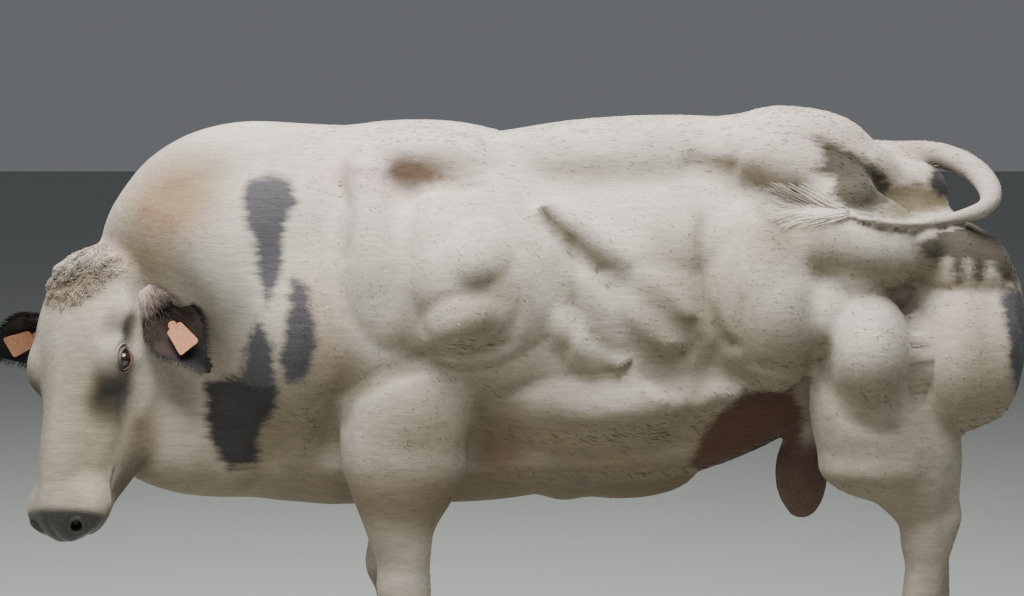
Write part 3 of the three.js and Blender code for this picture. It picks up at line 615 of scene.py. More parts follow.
SKIN_GRAIN = 0.0122  # size of the skin's faces on the body, in metres


def blank_skin():
    """Every flesh node in one closed surface, evenly meshed."""
    bm = bmesh.new()
    for node in FLESH:
        bm.from_mesh(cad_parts[node].data)
    bmesh.ops.remove_doubles(bm, verts=bm.verts, dist=1e-5)
    bm.normal_update()
    for vert in bm.verts:
        vert.co += vert.normal * 0.0006
    blank = in_scene("skin_blank", mesh_from(bm, "skin_blank"))
    remesh = blank.modifiers.new("remesh", "REMESH")
    remesh.mode = "VOXEL"
    remesh.voxel_size = SKIN_GRAIN
    evaluated = blank.evaluated_get(bpy.context.evaluated_depsgraph_get())
    even = bpy.data.meshes.new_from_object(evaluated)
    bpy.data.objects.remove(blank)
    return even


def keep_largest(bm):
    """Drops every piece but the one with the most vertices."""
    seen = set()
    best = []
    for start in bm.verts:
        if start in seen:
            continue
        seen.add(start)
        group = [start]
        for vert in group:
            for edge in vert.link_edges:
                other = edge.other_vert(vert)
                if other not in seen:
                    seen.add(other)
                    group.append(other)
        if len(group) > len(best):
            best = group
    kept = set(best)
    loose = [vert for vert in bm.verts if vert not in kept]
    bmesh.ops.delete(bm, geom=loose, context="VERTS")


def split_where(bm, wanted):
    """Halves the edges of the faces that a test picks out."""
    bm.faces.ensure_lookup_table()
    centres = to_lists([tuple(face.calc_center_median()) for face in bm.faces])
    picked = wanted(centres)
    edges = {edge for face, take in zip(bm.faces, picked) if take for edge in face.edges}
    bmesh.ops.subdivide_edges(bm, edges=list(edges), cuts=1, use_grid_fill=True)


def on_head(points):
    along, _, out = in_head(points).T
    return (along * NAPE_TILT[0] + out * NAPE_TILT[1] > NAPE - 10) & (head_field(points) < 25)


def on_tail(points):
    away, t = nearest_on_path(points, TAIL_PATH[::4])
    return (away < tail_thickness(t) + 12) & (t > 0.1)


def before_lips(local):
    """How far in front of the slit between the lips places on the head are."""
    along, _, out = local.T
    return out + 134 + 0.1 * (along - 520)


def from_crown(local):
    """How far places on the head are from the poll's middle, 1 at the rim of its curls."""
    return np.hypot((local[:, 0] - 20) / 96, local[:, 1] / 122)


def head_share(points, reach, start):
    """1 on the head and 0 off it, fading over a reach from its surface and along its axis."""
    return smoothstep(head_field(points), *reach) * smoothstep(in_head(points)[:, 0], *start)


def by_a_feature(points):
    """Near an eye, a nostril or the line of the mouth."""
    half = mirrored(in_head(points))
    eye = np.linalg.norm(half - EYE_AT, axis=1) < 66
    nostril = np.linalg.norm(half - (575, 52, -80), axis=1) < 62
    mouth = (np.abs(before_lips(half)) < 16) & (half[:, 0] > 425)
    return (eye | nostril | mouth) & (head_field(points) < 25)


def head_details(points):
    """The mouth's slit, the folds over the eye and nose, and the sockets under the lid patches."""
    half = mirrored(in_head(points))
    along, left, _ = half.T
    skull = head_field(points) < 30
    depth = np.zeros(len(points))
    lip = before_lips(half)
    reach = smoothstep(along, 432, 470)
    depth += 9 * np.exp(-((lip / 3.4) ** 2)) * reach
    depth -= 3.5 * np.exp(-(((lip - 12) / 9) ** 2)) * reach
    depth -= 3.0 * np.exp(-(((lip + 12) / 9) ** 2)) * reach
    eye_away = np.linalg.norm(half - EYE_AT, axis=1)
    depth += 13 * smoothstep(52 - eye_away, 0, 16)
    nose_away = np.linalg.norm((half - NOSTRIL_AT) / (1.25, 1, 1), axis=1)
    depth += 16 * smoothstep(33 - nose_away, 0, 12)
    crown = smoothstep(from_crown(half), 1.0, 0.6)
    heaps = np.sin(along / 13 + 1.2 * np.sin(left / 15))
    heaps = heaps * np.sin(left / 14 + 0.9 * np.sin(along / 17))
    depth -= (2.5 + 5.5 * heaps) * crown
    middle = np.exp(-((left / 9) ** 2)) * smoothstep(along, 545, 585)
    depth += 3 * middle
    return depth * skull


def wrinkles(points):
    """Soft rolls of skin round the bend of the neck, behind the jaw and over the brisket."""
    x, y, z = points.T
    bend = np.exp(-(((x + 720) / 90) ** 2) - (((z - 1010) / 150) ** 2)) * smoothstep(-y, 60, 160)
    rolls = 3.0 * np.sin((x * 0.8 + z * 0.35) / 13.0) * bend
    brisket = np.exp(-(((x + 560) / 150) ** 2) - (((z - 720) / 90) ** 2))
    rolls += 3.5 * np.sin((x * 0.9 - z * 0.4) / 17.0) * brisket
    return rolls


def relax(bm):
    axes = {f"use_axis_{axis}": True for axis in "xyz"}
    bmesh.ops.smooth_vert(bm, verts=bm.verts, factor=0.5, **axes)


def build_skin():
    """The one skin of the whole animal, from the blank to the folds."""
    blank = blank_skin()
    bm = bmesh.new()
    bm.from_mesh(blank)
    keep_largest(bm)
    mesh = mesh_from(bm, "skin")
    place_points(mesh, to_frame(settle(to_lists(mesh_points(mesh)), skin_field, 2)))
    bm = bmesh.new()
    bm.from_mesh(mesh)
    relax(bm)
    split_where(bm, lambda centres: on_head(centres) | on_tail(centres))
    split_where(bm, by_a_feature)
    relax(bm)
    bmesh.ops.recalc_face_normals(bm, faces=bm.faces)
    bm.to_mesh(mesh)
    bm.free()
    points = settle(to_lists(mesh_points(mesh)), skin_field, 2)
    _, rise = slope(points, skin_field)
    normals = each_unit(rise)
    push = wrinkles(points) - crease_depth(points) - head_details(points)
    place_points(mesh, to_frame(points + normals * push[:, None]))
    for face in mesh.polygons:
        face.use_smooth = True
    return mesh


# Markings and painted shade: soft washes of tone and outlined patches, each named by where it lies.

NEAR, FAR = -1, 1


def srgb(red, green, blue):
    """A colour as seen on a screen, made linear."""
    seen = np.array([red, green, blue]) / 255
    return np.where(seen <= 0.04045, seen / 12.92, ((seen + 0.055) / 1.055) ** 2.4)


CREAM = srgb(206, 195, 180)
PINK_WHITE = srgb(214, 192, 182)
COOL_WHITE = srgb(196, 190, 180)
TAN = srgb(166, 140, 110)
# A greenish brown for painted shade.
SHADE_TONE = srgb(134, 120, 96)
CREST_TAN = srgb(150, 124, 96)
# Painted shade for surfaces that face downwards.
UNDERSIDE_SHADE = srgb(112, 98, 70)
# Partly brown skin and partly painted shade.
GROIN_BROWN_AND_SHADE = srgb(84, 54, 42)
# Painted shade on the near rump.
RUMP_SHADE_TONE = srgb(126, 116, 92)
OLIVE = srgb(68, 62, 46)
SLATE = srgb(70, 70, 76)
SOOT = srgb(40, 39, 42)
# Partly dirt and partly painted shade.
BROWN_SHADE_AND_DIRT = srgb(112, 80, 64)
PINK_SKIN = srgb(190, 158, 148)
NOSE_GREY = srgb(62, 60, 56)
EAR_BLACK = srgb(34, 31, 30)
EAR_PINK = srgb(214, 190, 180)

# Soft washes of tone on both sides: colour, centre x z, half sizes, tilt in degrees, strength
WASHES = [
    (PINK_WHITE, (-330, 1380), (330, 130), 0, 0.8),
    (PINK_WHITE, (620, 1440), (330, 90), 0, 0.6),
    (CREST_TAN, (-763, 1296), (180, 130), 35, 1.0),
    # Painted shade: the flank, the front and middle of the thigh, the band under the tail's brush,
    # under the shoulder and behind the arm, darker where the light from above falls off.
    (SHADE_TONE, (372, 1080), (130, 190), 0, 0.55),
    (SHADE_TONE, (568, 1090), (150, 200), 0, 0.4),
    (SHADE_TONE, (640, 1212), (170, 74), -6, 0.85),
    (SHADE_TONE, (-70, 1086), (130, 64), 20, 0.6),
    (SHADE_TONE, (-202, 826), (110, 80), 0, 0.5),
    # Painted shade behind the elbow.
    (BROWN_SHADE_AND_DIRT, (-26, 740), (74, 130), 0, 0.85),
    (TAN, (-860, 1170), (110, 60), 0, 0.5),
    (COOL_WHITE, (-640, 1080), (110, 130), 0, 0.8),
    (TAN, (-430, 1010), (90, 190), 8, 0.55),
    (TAN, (-560, 760), (170, 110), 0, 0.5),
    # Brown along the belly: partly dirt and partly painted shade under the body.
    (BROWN_SHADE_AND_DIRT, (-200, 640), (420, 75), 0, 0.75),
    (BROWN_SHADE_AND_DIRT, (330, 650), (400, 85), -4, 0.8),
    (TAN, (200, 760), (480, 90), 0, 0.45),
    (TAN, (1030, 980), (110, 250), 0, 0.4),
    (COOL_WHITE, (700, 1130), (190, 170), 0, 0.35),
]

# Dark patches on the near side, some of them painted shadow, outlined on a side view with x and z
NEAR_PATCHES = [
    ("neck", SLATE, [
        (-603, 1304), (-596, 1348), (-540, 1372), (-490, 1350), (-478, 1300), (-502, 1240),
        (-508, 1150), (-541, 1073), (-560, 1150), (-572, 1230),
    ]),
    ("neck_strand", SLATE, [
        (-486, 1139), (-455, 1117), (-444, 1062), (-430, 983), (-451, 912), (-495, 902),
        (-519, 948), (-500, 1005), (-486, 1062),
    ]),
    ("throat", SLATE, [
        (-566, 1046), (-519, 983), (-520, 900), (-560, 870), (-604, 893), (-590, 972),
    ]),
    ("dewlap", SOOT, [
        (-690, 884), (-600, 905), (-519, 893), (-530, 835), (-563, 780), (-580, 700),
        (-640, 690), (-668, 734), (-690, 791),
    ]),
    # Painted shadow of the tail and the rump's ridge on the near rump.
    ("rump_wing", OLIVE, [
        (668, 1444), (746, 1412), (802, 1386), (856, 1330), (838, 1292), (780, 1268),
        (728, 1288), (696, 1318), (712, 1352), (672, 1366), (694, 1392),
    ]),
    # Painted shade on the near rump under its ridge.
    ("rump_lens", RUMP_SHADE_TONE, [
        (846, 1330), (907, 1341), (974, 1314), (994, 1286), (950, 1266), (871, 1264),
        (800, 1272),
    ]),
    # Painted shadow of the tail's bend on the buttock.
    ("under_tail", OLIVE, [
        (880, 1204), (960, 1250), (1040, 1278), (1140, 1270), (1160, 1170), (1119, 1096),
        (1088, 1130), (1052, 1164), (1030, 1120), (1000, 1172), (984, 1120), (958, 1178),
        (930, 1166),
    ]),
    ("buttock", SLATE, [
        (1080, 1086), (1110, 1110), (1190, 1080), (1190, 870), (1112, 880), (1094, 960),
    ]),
    # Painted shadow inside the tail's bend.
    ("tail_bend_shadow", SOOT, [
        (942, 1306), (1060, 1290), (1060, 1400), (950, 1402),
    ]),
    # Partly the brown skin of the flank fold and partly painted shade under the belly.
    ("groin", GROIN_BROWN_AND_SHADE, [
        (400, 690), (452, 800), (500, 858), (560, 880), (630, 864), (660, 800),
        (652, 640), (560, 600),
    ]),
]
FAR_PATCHES = [
    ("neck", SLATE, [
        (-640, 1250), (-560, 1330), (-450, 1290), (-470, 1120), (-520, 980), (-620, 1060),
    ]),
    ("dewlap", SLATE, [
        (-680, 900), (-540, 950), (-500, 800), (-600, 700), (-690, 760),
    ]),
    ("flank", SLATE, [
        (60, 1230), (150, 1260), (190, 1170), (120, 1120), (50, 1150),
    ]),
    ("rump", OLIVE, [
        (560, 1400), (700, 1430), (860, 1350), (840, 1230), (700, 1180), (600, 1260),
    ]),
    ("buttock", SLATE, [
        (860, 1120), (1010, 1180), (1140, 1100), (1110, 920), (960, 960),
    ]),
]
PATCH_EDGE = 50  # how softly a patch fades, in millimetres

# Tones of the head, alike on both sides: colour, centre along left out, half sizes, strength
HEAD_TONES = [
    (COOL_WHITE, (330, 0, -20), (300, 90, 90), 0.4),
    (TAN, (60, 0, -30), (100, 120, 90), 0.6),
    (OLIVE, (20, 50, -50), (80, 100, 80), 0.5),
    # Over the sides of the face and the cheeks: partly their greyer colour and partly painted
    # shade.
    (SHADE_TONE, (330, 40, -60), (330, 120, 120), 0.8),
    # Painted shade in the hollows over, under and beside the eye.
    (OLIVE, (140, 108, -58), (56, 34, 46), 1.0),
    (OLIVE, (300, 92, -76), (70, 56, 60), 1.0),
    (OLIVE, (236, 110, -52), (60, 40, 40), 0.8),
    (SLATE, (262, 118, -84), (52, 40, 46), 0.6),
    (SOOT, (212, 122, -68), (46, 40, 40), 0.75),
    (TAN, (330, 60, -200), (190, 70, 90), 0.6),
    (OLIVE, (430, 60, -190), (150, 80, 70), 0.7),
]



def inside_outline(points, corners):
    """How far inside an outline on the side view points lie, negative outside it."""
    flat = points[:, [0, 2]]
    ring = np.array([*corners, corners[0]], float)
    away, _ = nearest_on_path(flat, ring)
    within = np.zeros(len(flat), bool)
    for (x0, z0), (x1, z1) in zip(ring, ring[1:]):
        crosses = (z0 > flat[:, 1]) != (z1 > flat[:, 1])
        if z1 != z0:
            within ^= crosses & (flat[:, 0] < x0 + (x1 - x0) * (flat[:, 1] - z0) / (z1 - z0))
    return np.where(within, away, -away)


def mixed(base, tone, amount):
    return base + (tone - base) * amount[:, None]


def coat_tones(points, normals=None):
    """Base colour, patch colour and patch strength of the hair at each point, painted shade
    included.
    """
    base = np.tile(CREAM, (len(points), 1))
    for tone, centre, half, tilt, strength in WASHES:
        u, v = side_place(points, centre, half, tilt)
        base = mixed(base, tone, strength * smoothstep(1 - np.sqrt(u * u + v * v), -0.25, 0.8))
    dark = np.zeros(len(points))
    patch = np.tile(SLATE, (len(points), 1))
    own_head = head_share(points, (60, 0), (-30, 40))
    for side, patches in ((NEAR, NEAR_PATCHES), (FAR, FAR_PATCHES)):
        on_side = smoothstep(points[:, 1] * side, -10, 30) * (1 - own_head)
        for _, tone, corners in patches:
            amount = smoothstep(inside_outline(points, corners), -PATCH_EDGE, PATCH_EDGE) * on_side
            stronger = amount > dark
            patch[stronger] = tone
            dark = np.maximum(dark, amount)
    # Painted shade in the creases between the muscles.
    hollow = smoothstep(crease_depth(points), 1, 10)
    base = mixed(base, SHADE_TONE, 0.5 * hollow)
    # Painted shade on the surfaces that face downwards.
    if normals is not None:
        base = mixed(base, UNDERSIDE_SHADE, 0.75 * smoothstep(-normals[:, 2], -0.12, 0.62))
    # Painted shade, darker towards the bottom of the body.
    low = smoothstep(points[:, 2], 1090, 760) * smoothstep(np.abs(points[:, 1]), 60, 160)
    base = mixed(base, SHADE_TONE, 0.34 * low)
    half = mirrored(in_head(points))
    for tone, centre, sizes, strength in HEAD_TONES:
        inside = 1 - np.linalg.norm((half - centre) / sizes, axis=1)
        base = mixed(base, tone, strength * own_head * smoothstep(inside, -0.3, 0.7))
    away, t = nearest_on_path(points, TAIL_PATH[::3])
    tail = smoothstep(tail_thickness(t) + 14 - away, 0, 10) * (t > 0.12)
    base = mixed(base, srgb(176, 164, 152), 0.7 * tail)
    dark = dark * (1 - tail)
    under = smoothstep(tail_thickness(t) + 60 - away, 0, 40)
    under = under * smoothstep(t, 0.35, 0.05) * (1 - tail)
    base = mixed(base, PINK_SKIN, 0.8 * under * smoothstep(points[:, 0], 860, 900))
    return base, patch, dark


def nose_mask(points):
    along, _, out = in_head(points).T
    close = smoothstep(head_field(points), 30, 10)
    pad = smoothstep(along, 545, 566) * smoothstep(out, -150, -135) * close
    lips = smoothstep(along, 515, 545) * smoothstep(np.abs(out + 140), 34, 20) * close
    return np.clip(pad + 0.8 * lips, 0, 1)


def bare_mask(points):
    """Where skin shows without hair: scrotum, eye rims and under the tail."""
    half = mirrored(points)
    scrotum = smoothstep(union(half, SCROTUM), 14, 2) * smoothstep(points[:, 2], 800, 700)
    rims = smoothstep(np.linalg.norm(mirrored(in_head(points)) - EYE_AT, axis=1), 36, 27)
    return np.clip(scrotum + rims, 0, 1)


def set_values(mesh, name, values):
    layer = mesh.attributes.get(name)
    if layer is None:
        layer = mesh.attributes.new(name, "FLOAT", "POINT")
    layer.data.foreach_set("value", np.asarray(values, np.float32))


def one_tone(tones):
    """The same colour for coat and patch, with no patch, nose or bare skin."""
    nothing = np.zeros(len(tones))
    return [tones, tones, nothing, nothing, nothing]


def write_tones(mesh, base, patch, dark, nose, bare):
    for name, values in (("coat_tone", base), ("patch_tone", patch)):
        layer = mesh.color_attributes.new(name, "FLOAT_COLOR", "POINT")
        opaque = np.hstack([values, np.ones((len(values), 1))])
        layer.data.foreach_set("color", opaque.astype(np.float32).ravel())
    for name, values in (("patch", dark), ("nose", nose), ("bare", bare)):
        set_values(mesh, name, values)


def paint(mesh, points, normals=None):
    """Writes the markings and painted shade on a mesh's vertices, read at some points of the skin.
    """
    base, patch, dark = coat_tones(points, normals)
    write_tones(mesh, base, patch, dark, nose_mask(points), bare_mask(points))


# Materials


def fresh_material(name):
    material = bpy.data.materials.new(name)
    material.use_nodes = True
    tree = material.node_tree
    tree.nodes.clear()
    output = tree.nodes.new("ShaderNodeOutputMaterial")
    shader = tree.nodes.new("ShaderNodeBsdfPrincipled")
    tree.links.new(shader.outputs["BSDF"], output.inputs["Surface"])
    return material, tree, shader


def add_node(tree, kind, values=(), links=(), **settings):
    """One node with its settings, its plain values and what feeds it."""
    made = tree.nodes.new("ShaderNode" + kind)
    for key, value in settings.items():
        setattr(made, key, value)
    for socket, value in dict(values).items():
        made.inputs[socket].default_value = value
    for socket, source in dict(links).items():
        tree.links.new(source, made.inputs[socket])
    return made


def noise_at(tree, place, scale, detail=3.0, roughness=0.5):
    made = add_node(
        tree,
        "TexNoise",
        {"Scale": scale, "Detail": detail, "Roughness": roughness},
        {"Vector": place},
    )
    return made.outputs["Fac"]


def ranged(tree, value, low, high, to_low=0.0, to_high=1.0):
    made = add_node(
        tree,
        "MapRange",
        {"From Min": low, "From Max": high, "To Min": to_low, "To Max": to_high},
        {"Value": value},
        interpolation_type="SMOOTHSTEP",
    )
    return made.outputs["Result"]


def feed(tree, socket, value):
    """Sets a socket to a number or a colour, or links it to what makes its value."""
    if isinstance(value, (int, float)):
        socket.default_value = value
    elif isinstance(value, (tuple, list, np.ndarray)):
        socket.default_value = (*value[:3], 1)
    else:
        tree.links.new(value, socket)


def combined(tree, operation, a, b):
    made = add_node(tree, "Math", operation=operation)
    for socket, value in zip(made.inputs, (a, b)):
        feed(tree, socket, value)
    return made.outputs[0]


def colour_mix(tree, blend, amount, a, b):
    made = add_node(tree, "Mix", data_type="RGBA", blend_type=blend)
    for socket, value in zip((0, 6, 7), (amount, a, b)):
        feed(tree, made.inputs[socket], value)
    return made.outputs[2]


def object_place(tree):
    return add_node(tree, "TexCoord").outputs["Object"]


def bumped(tree, height, strength, distance):
    values = {"Strength": strength, "Distance": distance}
    return add_node(tree, "Bump", values, {"Height": height}).outputs["Normal"]


def dress(tree, shader, looks):
    for name, value in looks.items():
        feed(tree, shader.inputs[name], value)


def hair_group():
    """Short hair: the colour with its feathered patches, and the height of the lying hairs."""
    group = bpy.data.node_groups.new("short_hair", "ShaderNodeTree")
    for name, way, kind in (
        ("Base", "INPUT", "Color"),
        ("Patch Tone", "INPUT", "Color"),
        ("Patch", "INPUT", "Float"),
        ("Color", "OUTPUT", "Color"),
        ("Height", "OUTPUT", "Float"),
    ):
        group.interface.new_socket(name, in_out=way, socket_type="NodeSocket" + kind)
    start = group.nodes.new("NodeGroupInput")
    end = group.nodes.new("NodeGroupOutput")
    place = object_place(group)
    combing = {"Scale": (0.16, 0.7, 1.0), "Rotation": (0, 0.35, 0)}
    along = add_node(group, "Mapping", combing, {"Vector": place})
    lying = along.outputs["Vector"]
    hairs = noise_at(group, lying, 420, 3.0, 0.65)
    locks = noise_at(group, lying, 95, 3.0, 0.6)
    feather = noise_at(group, lying, 60, 5.0, 0.7)
    cloud = noise_at(group, place, 7, 4.0, 0.55)
    feathered = combined(group, "MULTIPLY", feather, 0.75)
    clouded = combined(group, "MULTIPLY", cloud, 0.55)
    ragged = combined(group, "SUBTRACT", combined(group, "ADD", feathered, clouded), 0.65)
    edge = combined(group, "ADD", start.outputs["Patch"], ragged)
    amount = ranged(group, edge, 0.26, 0.7, 0.0, 0.95)
    toned = colour_mix(group, "MIX", amount, start.outputs["Base"], start.outputs["Patch Tone"])
    shade = ranged(group, locks, 0.25, 0.75, 0.86, 1.08)
    fine = ranged(group, hairs, 0.2, 0.8, 0.88, 1.1)
    broad = ranged(group, cloud, 0.2, 0.8, 0.9, 1.06)
    value = combined(group, "MULTIPLY", combined(group, "MULTIPLY", shade, fine), broad)
    channels = {"Red": value, "Green": value, "Blue": value}
    grey = add_node(group, "CombineColor", (), channels).outputs["Color"]
    group.links.new(colour_mix(group, "MULTIPLY", 1.0, toned, grey), end.inputs["Color"])
    low_hairs = combined(group, "MULTIPLY", hairs, 0.5)
    height = combined(group, "ADD", low_hairs, combined(group, "MULTIPLY", locks, 0.8))
    group.links.new(height, end.inputs["Height"])
    return group


HAIR = hair_group()


def attribute(tree, name, colour=False):
    made = add_node(tree, "Attribute", attribute_name=name)
    return made.outputs["Color" if colour else "Fac"]


def haired_skin(tree):
    """The shared hair, fed with a mesh's own markings."""
    hair = tree.nodes.new("ShaderNodeGroup")
    hair.node_tree = HAIR
    for socket, name in (("Base", "coat_tone"), ("Patch Tone", "patch_tone"), ("Patch", "patch")):
        tree.links.new(attribute(tree, name, socket != "Patch"), hair.inputs[socket])
    return hair


def nose_leather(tree, place):
    """The pores of a wet nose and its two greys between them."""
    pores = add_node(tree, "TexVoronoi", {"Scale": 260.0}, {"Vector": place}).outputs["Distance"]
    return pores, colour_mix(tree, "MIX", pores, NOSE_GREY * 0.7, NOSE_GREY * 1.25)


def damp(tree, nose):
    """Dull hair, with the nose wetter."""
    return combined(tree, "SUBTRACT", 0.82, combined(tree, "MULTIPLY", nose, 0.45))


def coat_material():
    """Hair over the skin, wet dark nose and bare wrinkled skin, told apart by masks."""
    material, tree, shader = fresh_material("coat")
    hair = haired_skin(tree)
    place = object_place(tree)
    nose = attribute(tree, "nose")
    bare = attribute(tree, "bare")
    creased = noise_at(tree, place, 90, 4.0, 0.6)
    skin_tone = colour_mix(tree, "MIX", creased, srgb(70, 52, 44), srgb(122, 94, 80))
    pores, nose_tone = nose_leather(tree, place)
    colour = colour_mix(tree, "MIX", bare, hair.outputs["Color"], skin_tone)
    colour = colour_mix(tree, "MIX", nose, colour, nose_tone)
    smooth_skin = combined(tree, "MAXIMUM", nose, bare)
    hairy = combined(tree, "SUBTRACT", 1.0, smooth_skin)
    haired = combined(tree, "MULTIPLY", hair.outputs["Height"], hairy)
    skinned = combined(tree, "MULTIPLY", combined(tree, "ADD", pores, creased), smooth_skin)
    looks = {
        "Base Color": colour,
        "Roughness": damp(tree, nose),
        "Specular IOR Level": 0.28,
        "Sheen Weight": 0.12,
        "Sheen Roughness": 0.5,
        "Normal": bumped(tree, combined(tree, "ADD", haired, skinned), 0.55, 0.003),
    }
    dress(tree, shader, looks)
    return material


COAT = coat_material()


def show(name, mesh, material):
    """A finished piece that rides with the animal."""
    mesh.materials.clear()
    mesh.materials.append(material)
    thing = in_scene(name, mesh)
    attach(thing, "root")
    return thing


def skin_piece():
    mesh = build_skin()
    paint(mesh, to_lists(mesh_points(mesh)), mesh_points(mesh, "normal"))
    skin = show("skin", mesh, COAT)
    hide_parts(*FLESH)
    return skin


skin = skin_piece()


# Patches round the eyes and nostrils, laid over sockets in the skin


def head_surface(points):
    return head_field(points) + COAT_DEPTH


def over_plane(axes, flat, height):
    """Points over a plane, from its centre, its two ways and the way out of it."""
    centre, across, up, out = axes
    return centre + flat[:, :1] * across + flat[:, 1:] * up + height[:, None] * out


def height_over(axes, flat):
    """How far out from a plane the head's skin stands, at flat places on it."""
    height = np.full(len(flat), 70.0)
    for _ in range(70):
        height -= np.clip(head_surface(over_plane(axes, flat, height)), -2, 12) * 0.7
    return height


def ring_faces(rings, around, closed=True):
    """Quads between rings of points, each ring having as many."""
    faces = []
    for i in range(rings - 1):
        for j in range(around if closed else around - 1):
            k = (j + 1) % around
            near, far = i * around, (i + 1) * around
            faces.append((near + j, near + k, far + k, far + j))
    return faces


def sheet_mesh(name, points, faces):
    mesh = bpy.data.meshes.new(name)
    mesh.from_pydata([tuple(p) for p in to_frame(points)], [], faces)
    bm = bmesh.new()
    bm.from_mesh(mesh)
    bmesh.ops.recalc_face_normals(bm, faces=bm.faces)
    for face in bm.faces:
        face.smooth = True
    bm.to_mesh(mesh)
    bm.free()
    return mesh


def bump_at(value, middle, width):
    return np.exp(-(((value - middle) / width) ** 2))


LID_AROUND = 112
LID_RINGS = 40
LID_REACH = 60.0


def eye_axes(side):
    """Across towards the nose, up the brow and out of the socket, with the eye's centre."""
    out = unit(HEAD_LEFT * side + 0.25 * HEAD_OUT - 0.05 * HEAD_ALONG)
    across = unit(HEAD_ALONG - out * (HEAD_ALONG @ out))
    up = unit(HEAD_OUT - out * (HEAD_OUT @ out) - across * (HEAD_OUT @ across))
    return head_point(EYE_AT[0], side * EYE_AT[1], EYE_AT[2]), across, up, out


def eyelids(side, word):
    """Both lids of one eye, from the rolled rim on the ball out over the socket to the cheek."""
    axes = eye_axes(side)
    centre, _, _, out = axes
    turn = np.linspace(0, 2 * math.pi, LID_AROUND, endpoint=False)
    upper = smoothstep(np.sin(turn), -0.25, 0.25)
    open_up = 13.0 * upper + 11.0 * (1 - upper)
    wide = 20.2 * np.cos(turn) * (1 + 0.05 * np.cos(turn))
    rim = np.stack([wide, open_up * np.sin(turn)], axis=1)
    edge = np.stack([np.cos(turn), np.sin(turn)], axis=1) * LID_REACH
    rings, spread = [], []
    for i in range(LID_RINGS):
        t = (i / (LID_RINGS - 1)) ** 1.5
        flat = rim + (edge - rim) * t
        from_rim = np.linalg.norm(flat - rim, axis=1)
        ball = np.sqrt(np.maximum((EYE_RADIUS + 1) ** 2 - (rim**2).sum(1), 4))
        swell = 4.6 * (1 - np.exp(-from_rim / 2.2)) - from_rim * 0.22 * (1 + 0.4 * (1 - upper))
        skin = height_over(axes, flat)
        settle_down = smoothstep(from_rim, 7, 30)
        height = (ball + swell) * (1 - settle_down) + skin * settle_down
        fold = 3.4 * bump_at(from_rim, 9.5, 2.2) * upper - 2.6 * bump_at(from_rim, 16, 5) * upper
        fold += 1.8 * bump_at(from_rim, 18, 2.4) * upper
        fold += (1.9 * bump_at(from_rim, 8, 1.7) + 1.5 * bump_at(from_rim, 14.5, 2.0)) * (1 - upper)
        corner = np.abs(np.cos(turn)) ** 6
        pleats = np.sin(from_rim * 1.1 + 2 * np.sin(turn))
        fold += 1.2 * pleats * corner * smoothstep(from_rim, 2, 8)
        fade = smoothstep(from_rim, 38, 24)
        tuck = 0.4 - 3.2 * smoothstep(t * np.ones(LID_AROUND), 0.84, 1.0)
        height = height - fold * fade + tuck
        rings.append(over_plane(axes, flat, height))
        spread.append(from_rim)
    inner = rings[0] - out * 5 + (centre - rings[0]) * 0.04
    points = np.concatenate([inner[None], rings]).reshape(-1, 3)
    mesh = sheet_mesh(f"eyelids_{word}", points, ring_faces(LID_RINGS + 1, LID_AROUND))
    paint(mesh, points)
    from_rim = np.concatenate([np.zeros(LID_AROUND), np.array(spread).ravel()])
    set_values(mesh, "bare", smoothstep(from_rim, 7.5, 3.0))
    return show(f"eyelids_{word}", mesh, COAT)


def nostril(side, word):
    """One nostril: a comma-shaped opening with a raised wing, its inside painted darker with depth
    as shade.
    """
    along, left, out_at = NOSTRIL_AT
    centre = head_point(along, side * left, out_at)
    out = unit(0.72 * HEAD_ALONG + 0.58 * side * HEAD_LEFT + 0.38 * HEAD_OUT)
    up = unit(HEAD_OUT - out * (HEAD_OUT @ out))
    axes = (centre, np.cross(up, out) * side, up, out)
    around = 96
    turn = np.linspace(0, 2 * math.pi, around, endpoint=False)
    comma = 1 + 0.34 * np.cos(turn - 0.9) - 0.16 * np.cos(2 * turn + 0.5)
    rim = np.stack([16.0 * np.cos(turn), 10.5 * np.sin(turn)], axis=1) * comma[:, None]
    tilt = 0.5
    rim = rim @ np.array([[math.cos(tilt), math.sin(tilt)], [-math.sin(tilt), math.cos(tilt)]])
    edge = np.stack([44 * np.cos(turn), 37 * np.sin(turn)], axis=1)
    rings, deep = [], []
    rim_height = height_over(axes, rim)
    for narrow, sunk in ((0.16, 17), (0.5, 16), (0.72, 13), (0.86, 9), (0.95, 5), (1.0, 1.5)):
        flat = rim * narrow
        rings.append(over_plane(axes, flat, rim_height - sunk))
        deep.append(np.full(around, sunk / 17))
    for i in range(1, 24):
        t = (i / 23) ** 1.3
        flat = rim + (edge - rim) * t
        from_rim = np.linalg.norm(flat - rim, axis=1)
        wing = 3.4 * bump_at(from_rim, 5.5, 4.5) * (0.7 + 0.5 * np.cos(turn - 0.9))
        groove = 1.6 * bump_at(from_rim, 15, 3.0)
        height = height_over(axes, flat) + wing - groove * smoothstep(t, 1.0, 0.7)
        height += 0.3 - 1.5 * smoothstep(from_rim, 3, 0) - 3.0 * smoothstep(t, 0.85, 1.0)
        rings.append(over_plane(axes, flat, height))
        deep.append(np.zeros(around))
    points = np.array(rings).reshape(-1, 3)
    faces = ring_faces(len(rings), around) + [tuple(range(around))]
    mesh = sheet_mesh(f"nostril_{word}", points, faces)
    paint(mesh, points)
    inside = np.array(deep).ravel()
    set_values(mesh, "inside", inside)
    set_values(mesh, "nose", np.maximum(nose_mask(points), smoothstep(inside, 0.0, 0.1)))
    return show(f"nostril_{word}", mesh, NOSTRIL_SKIN)


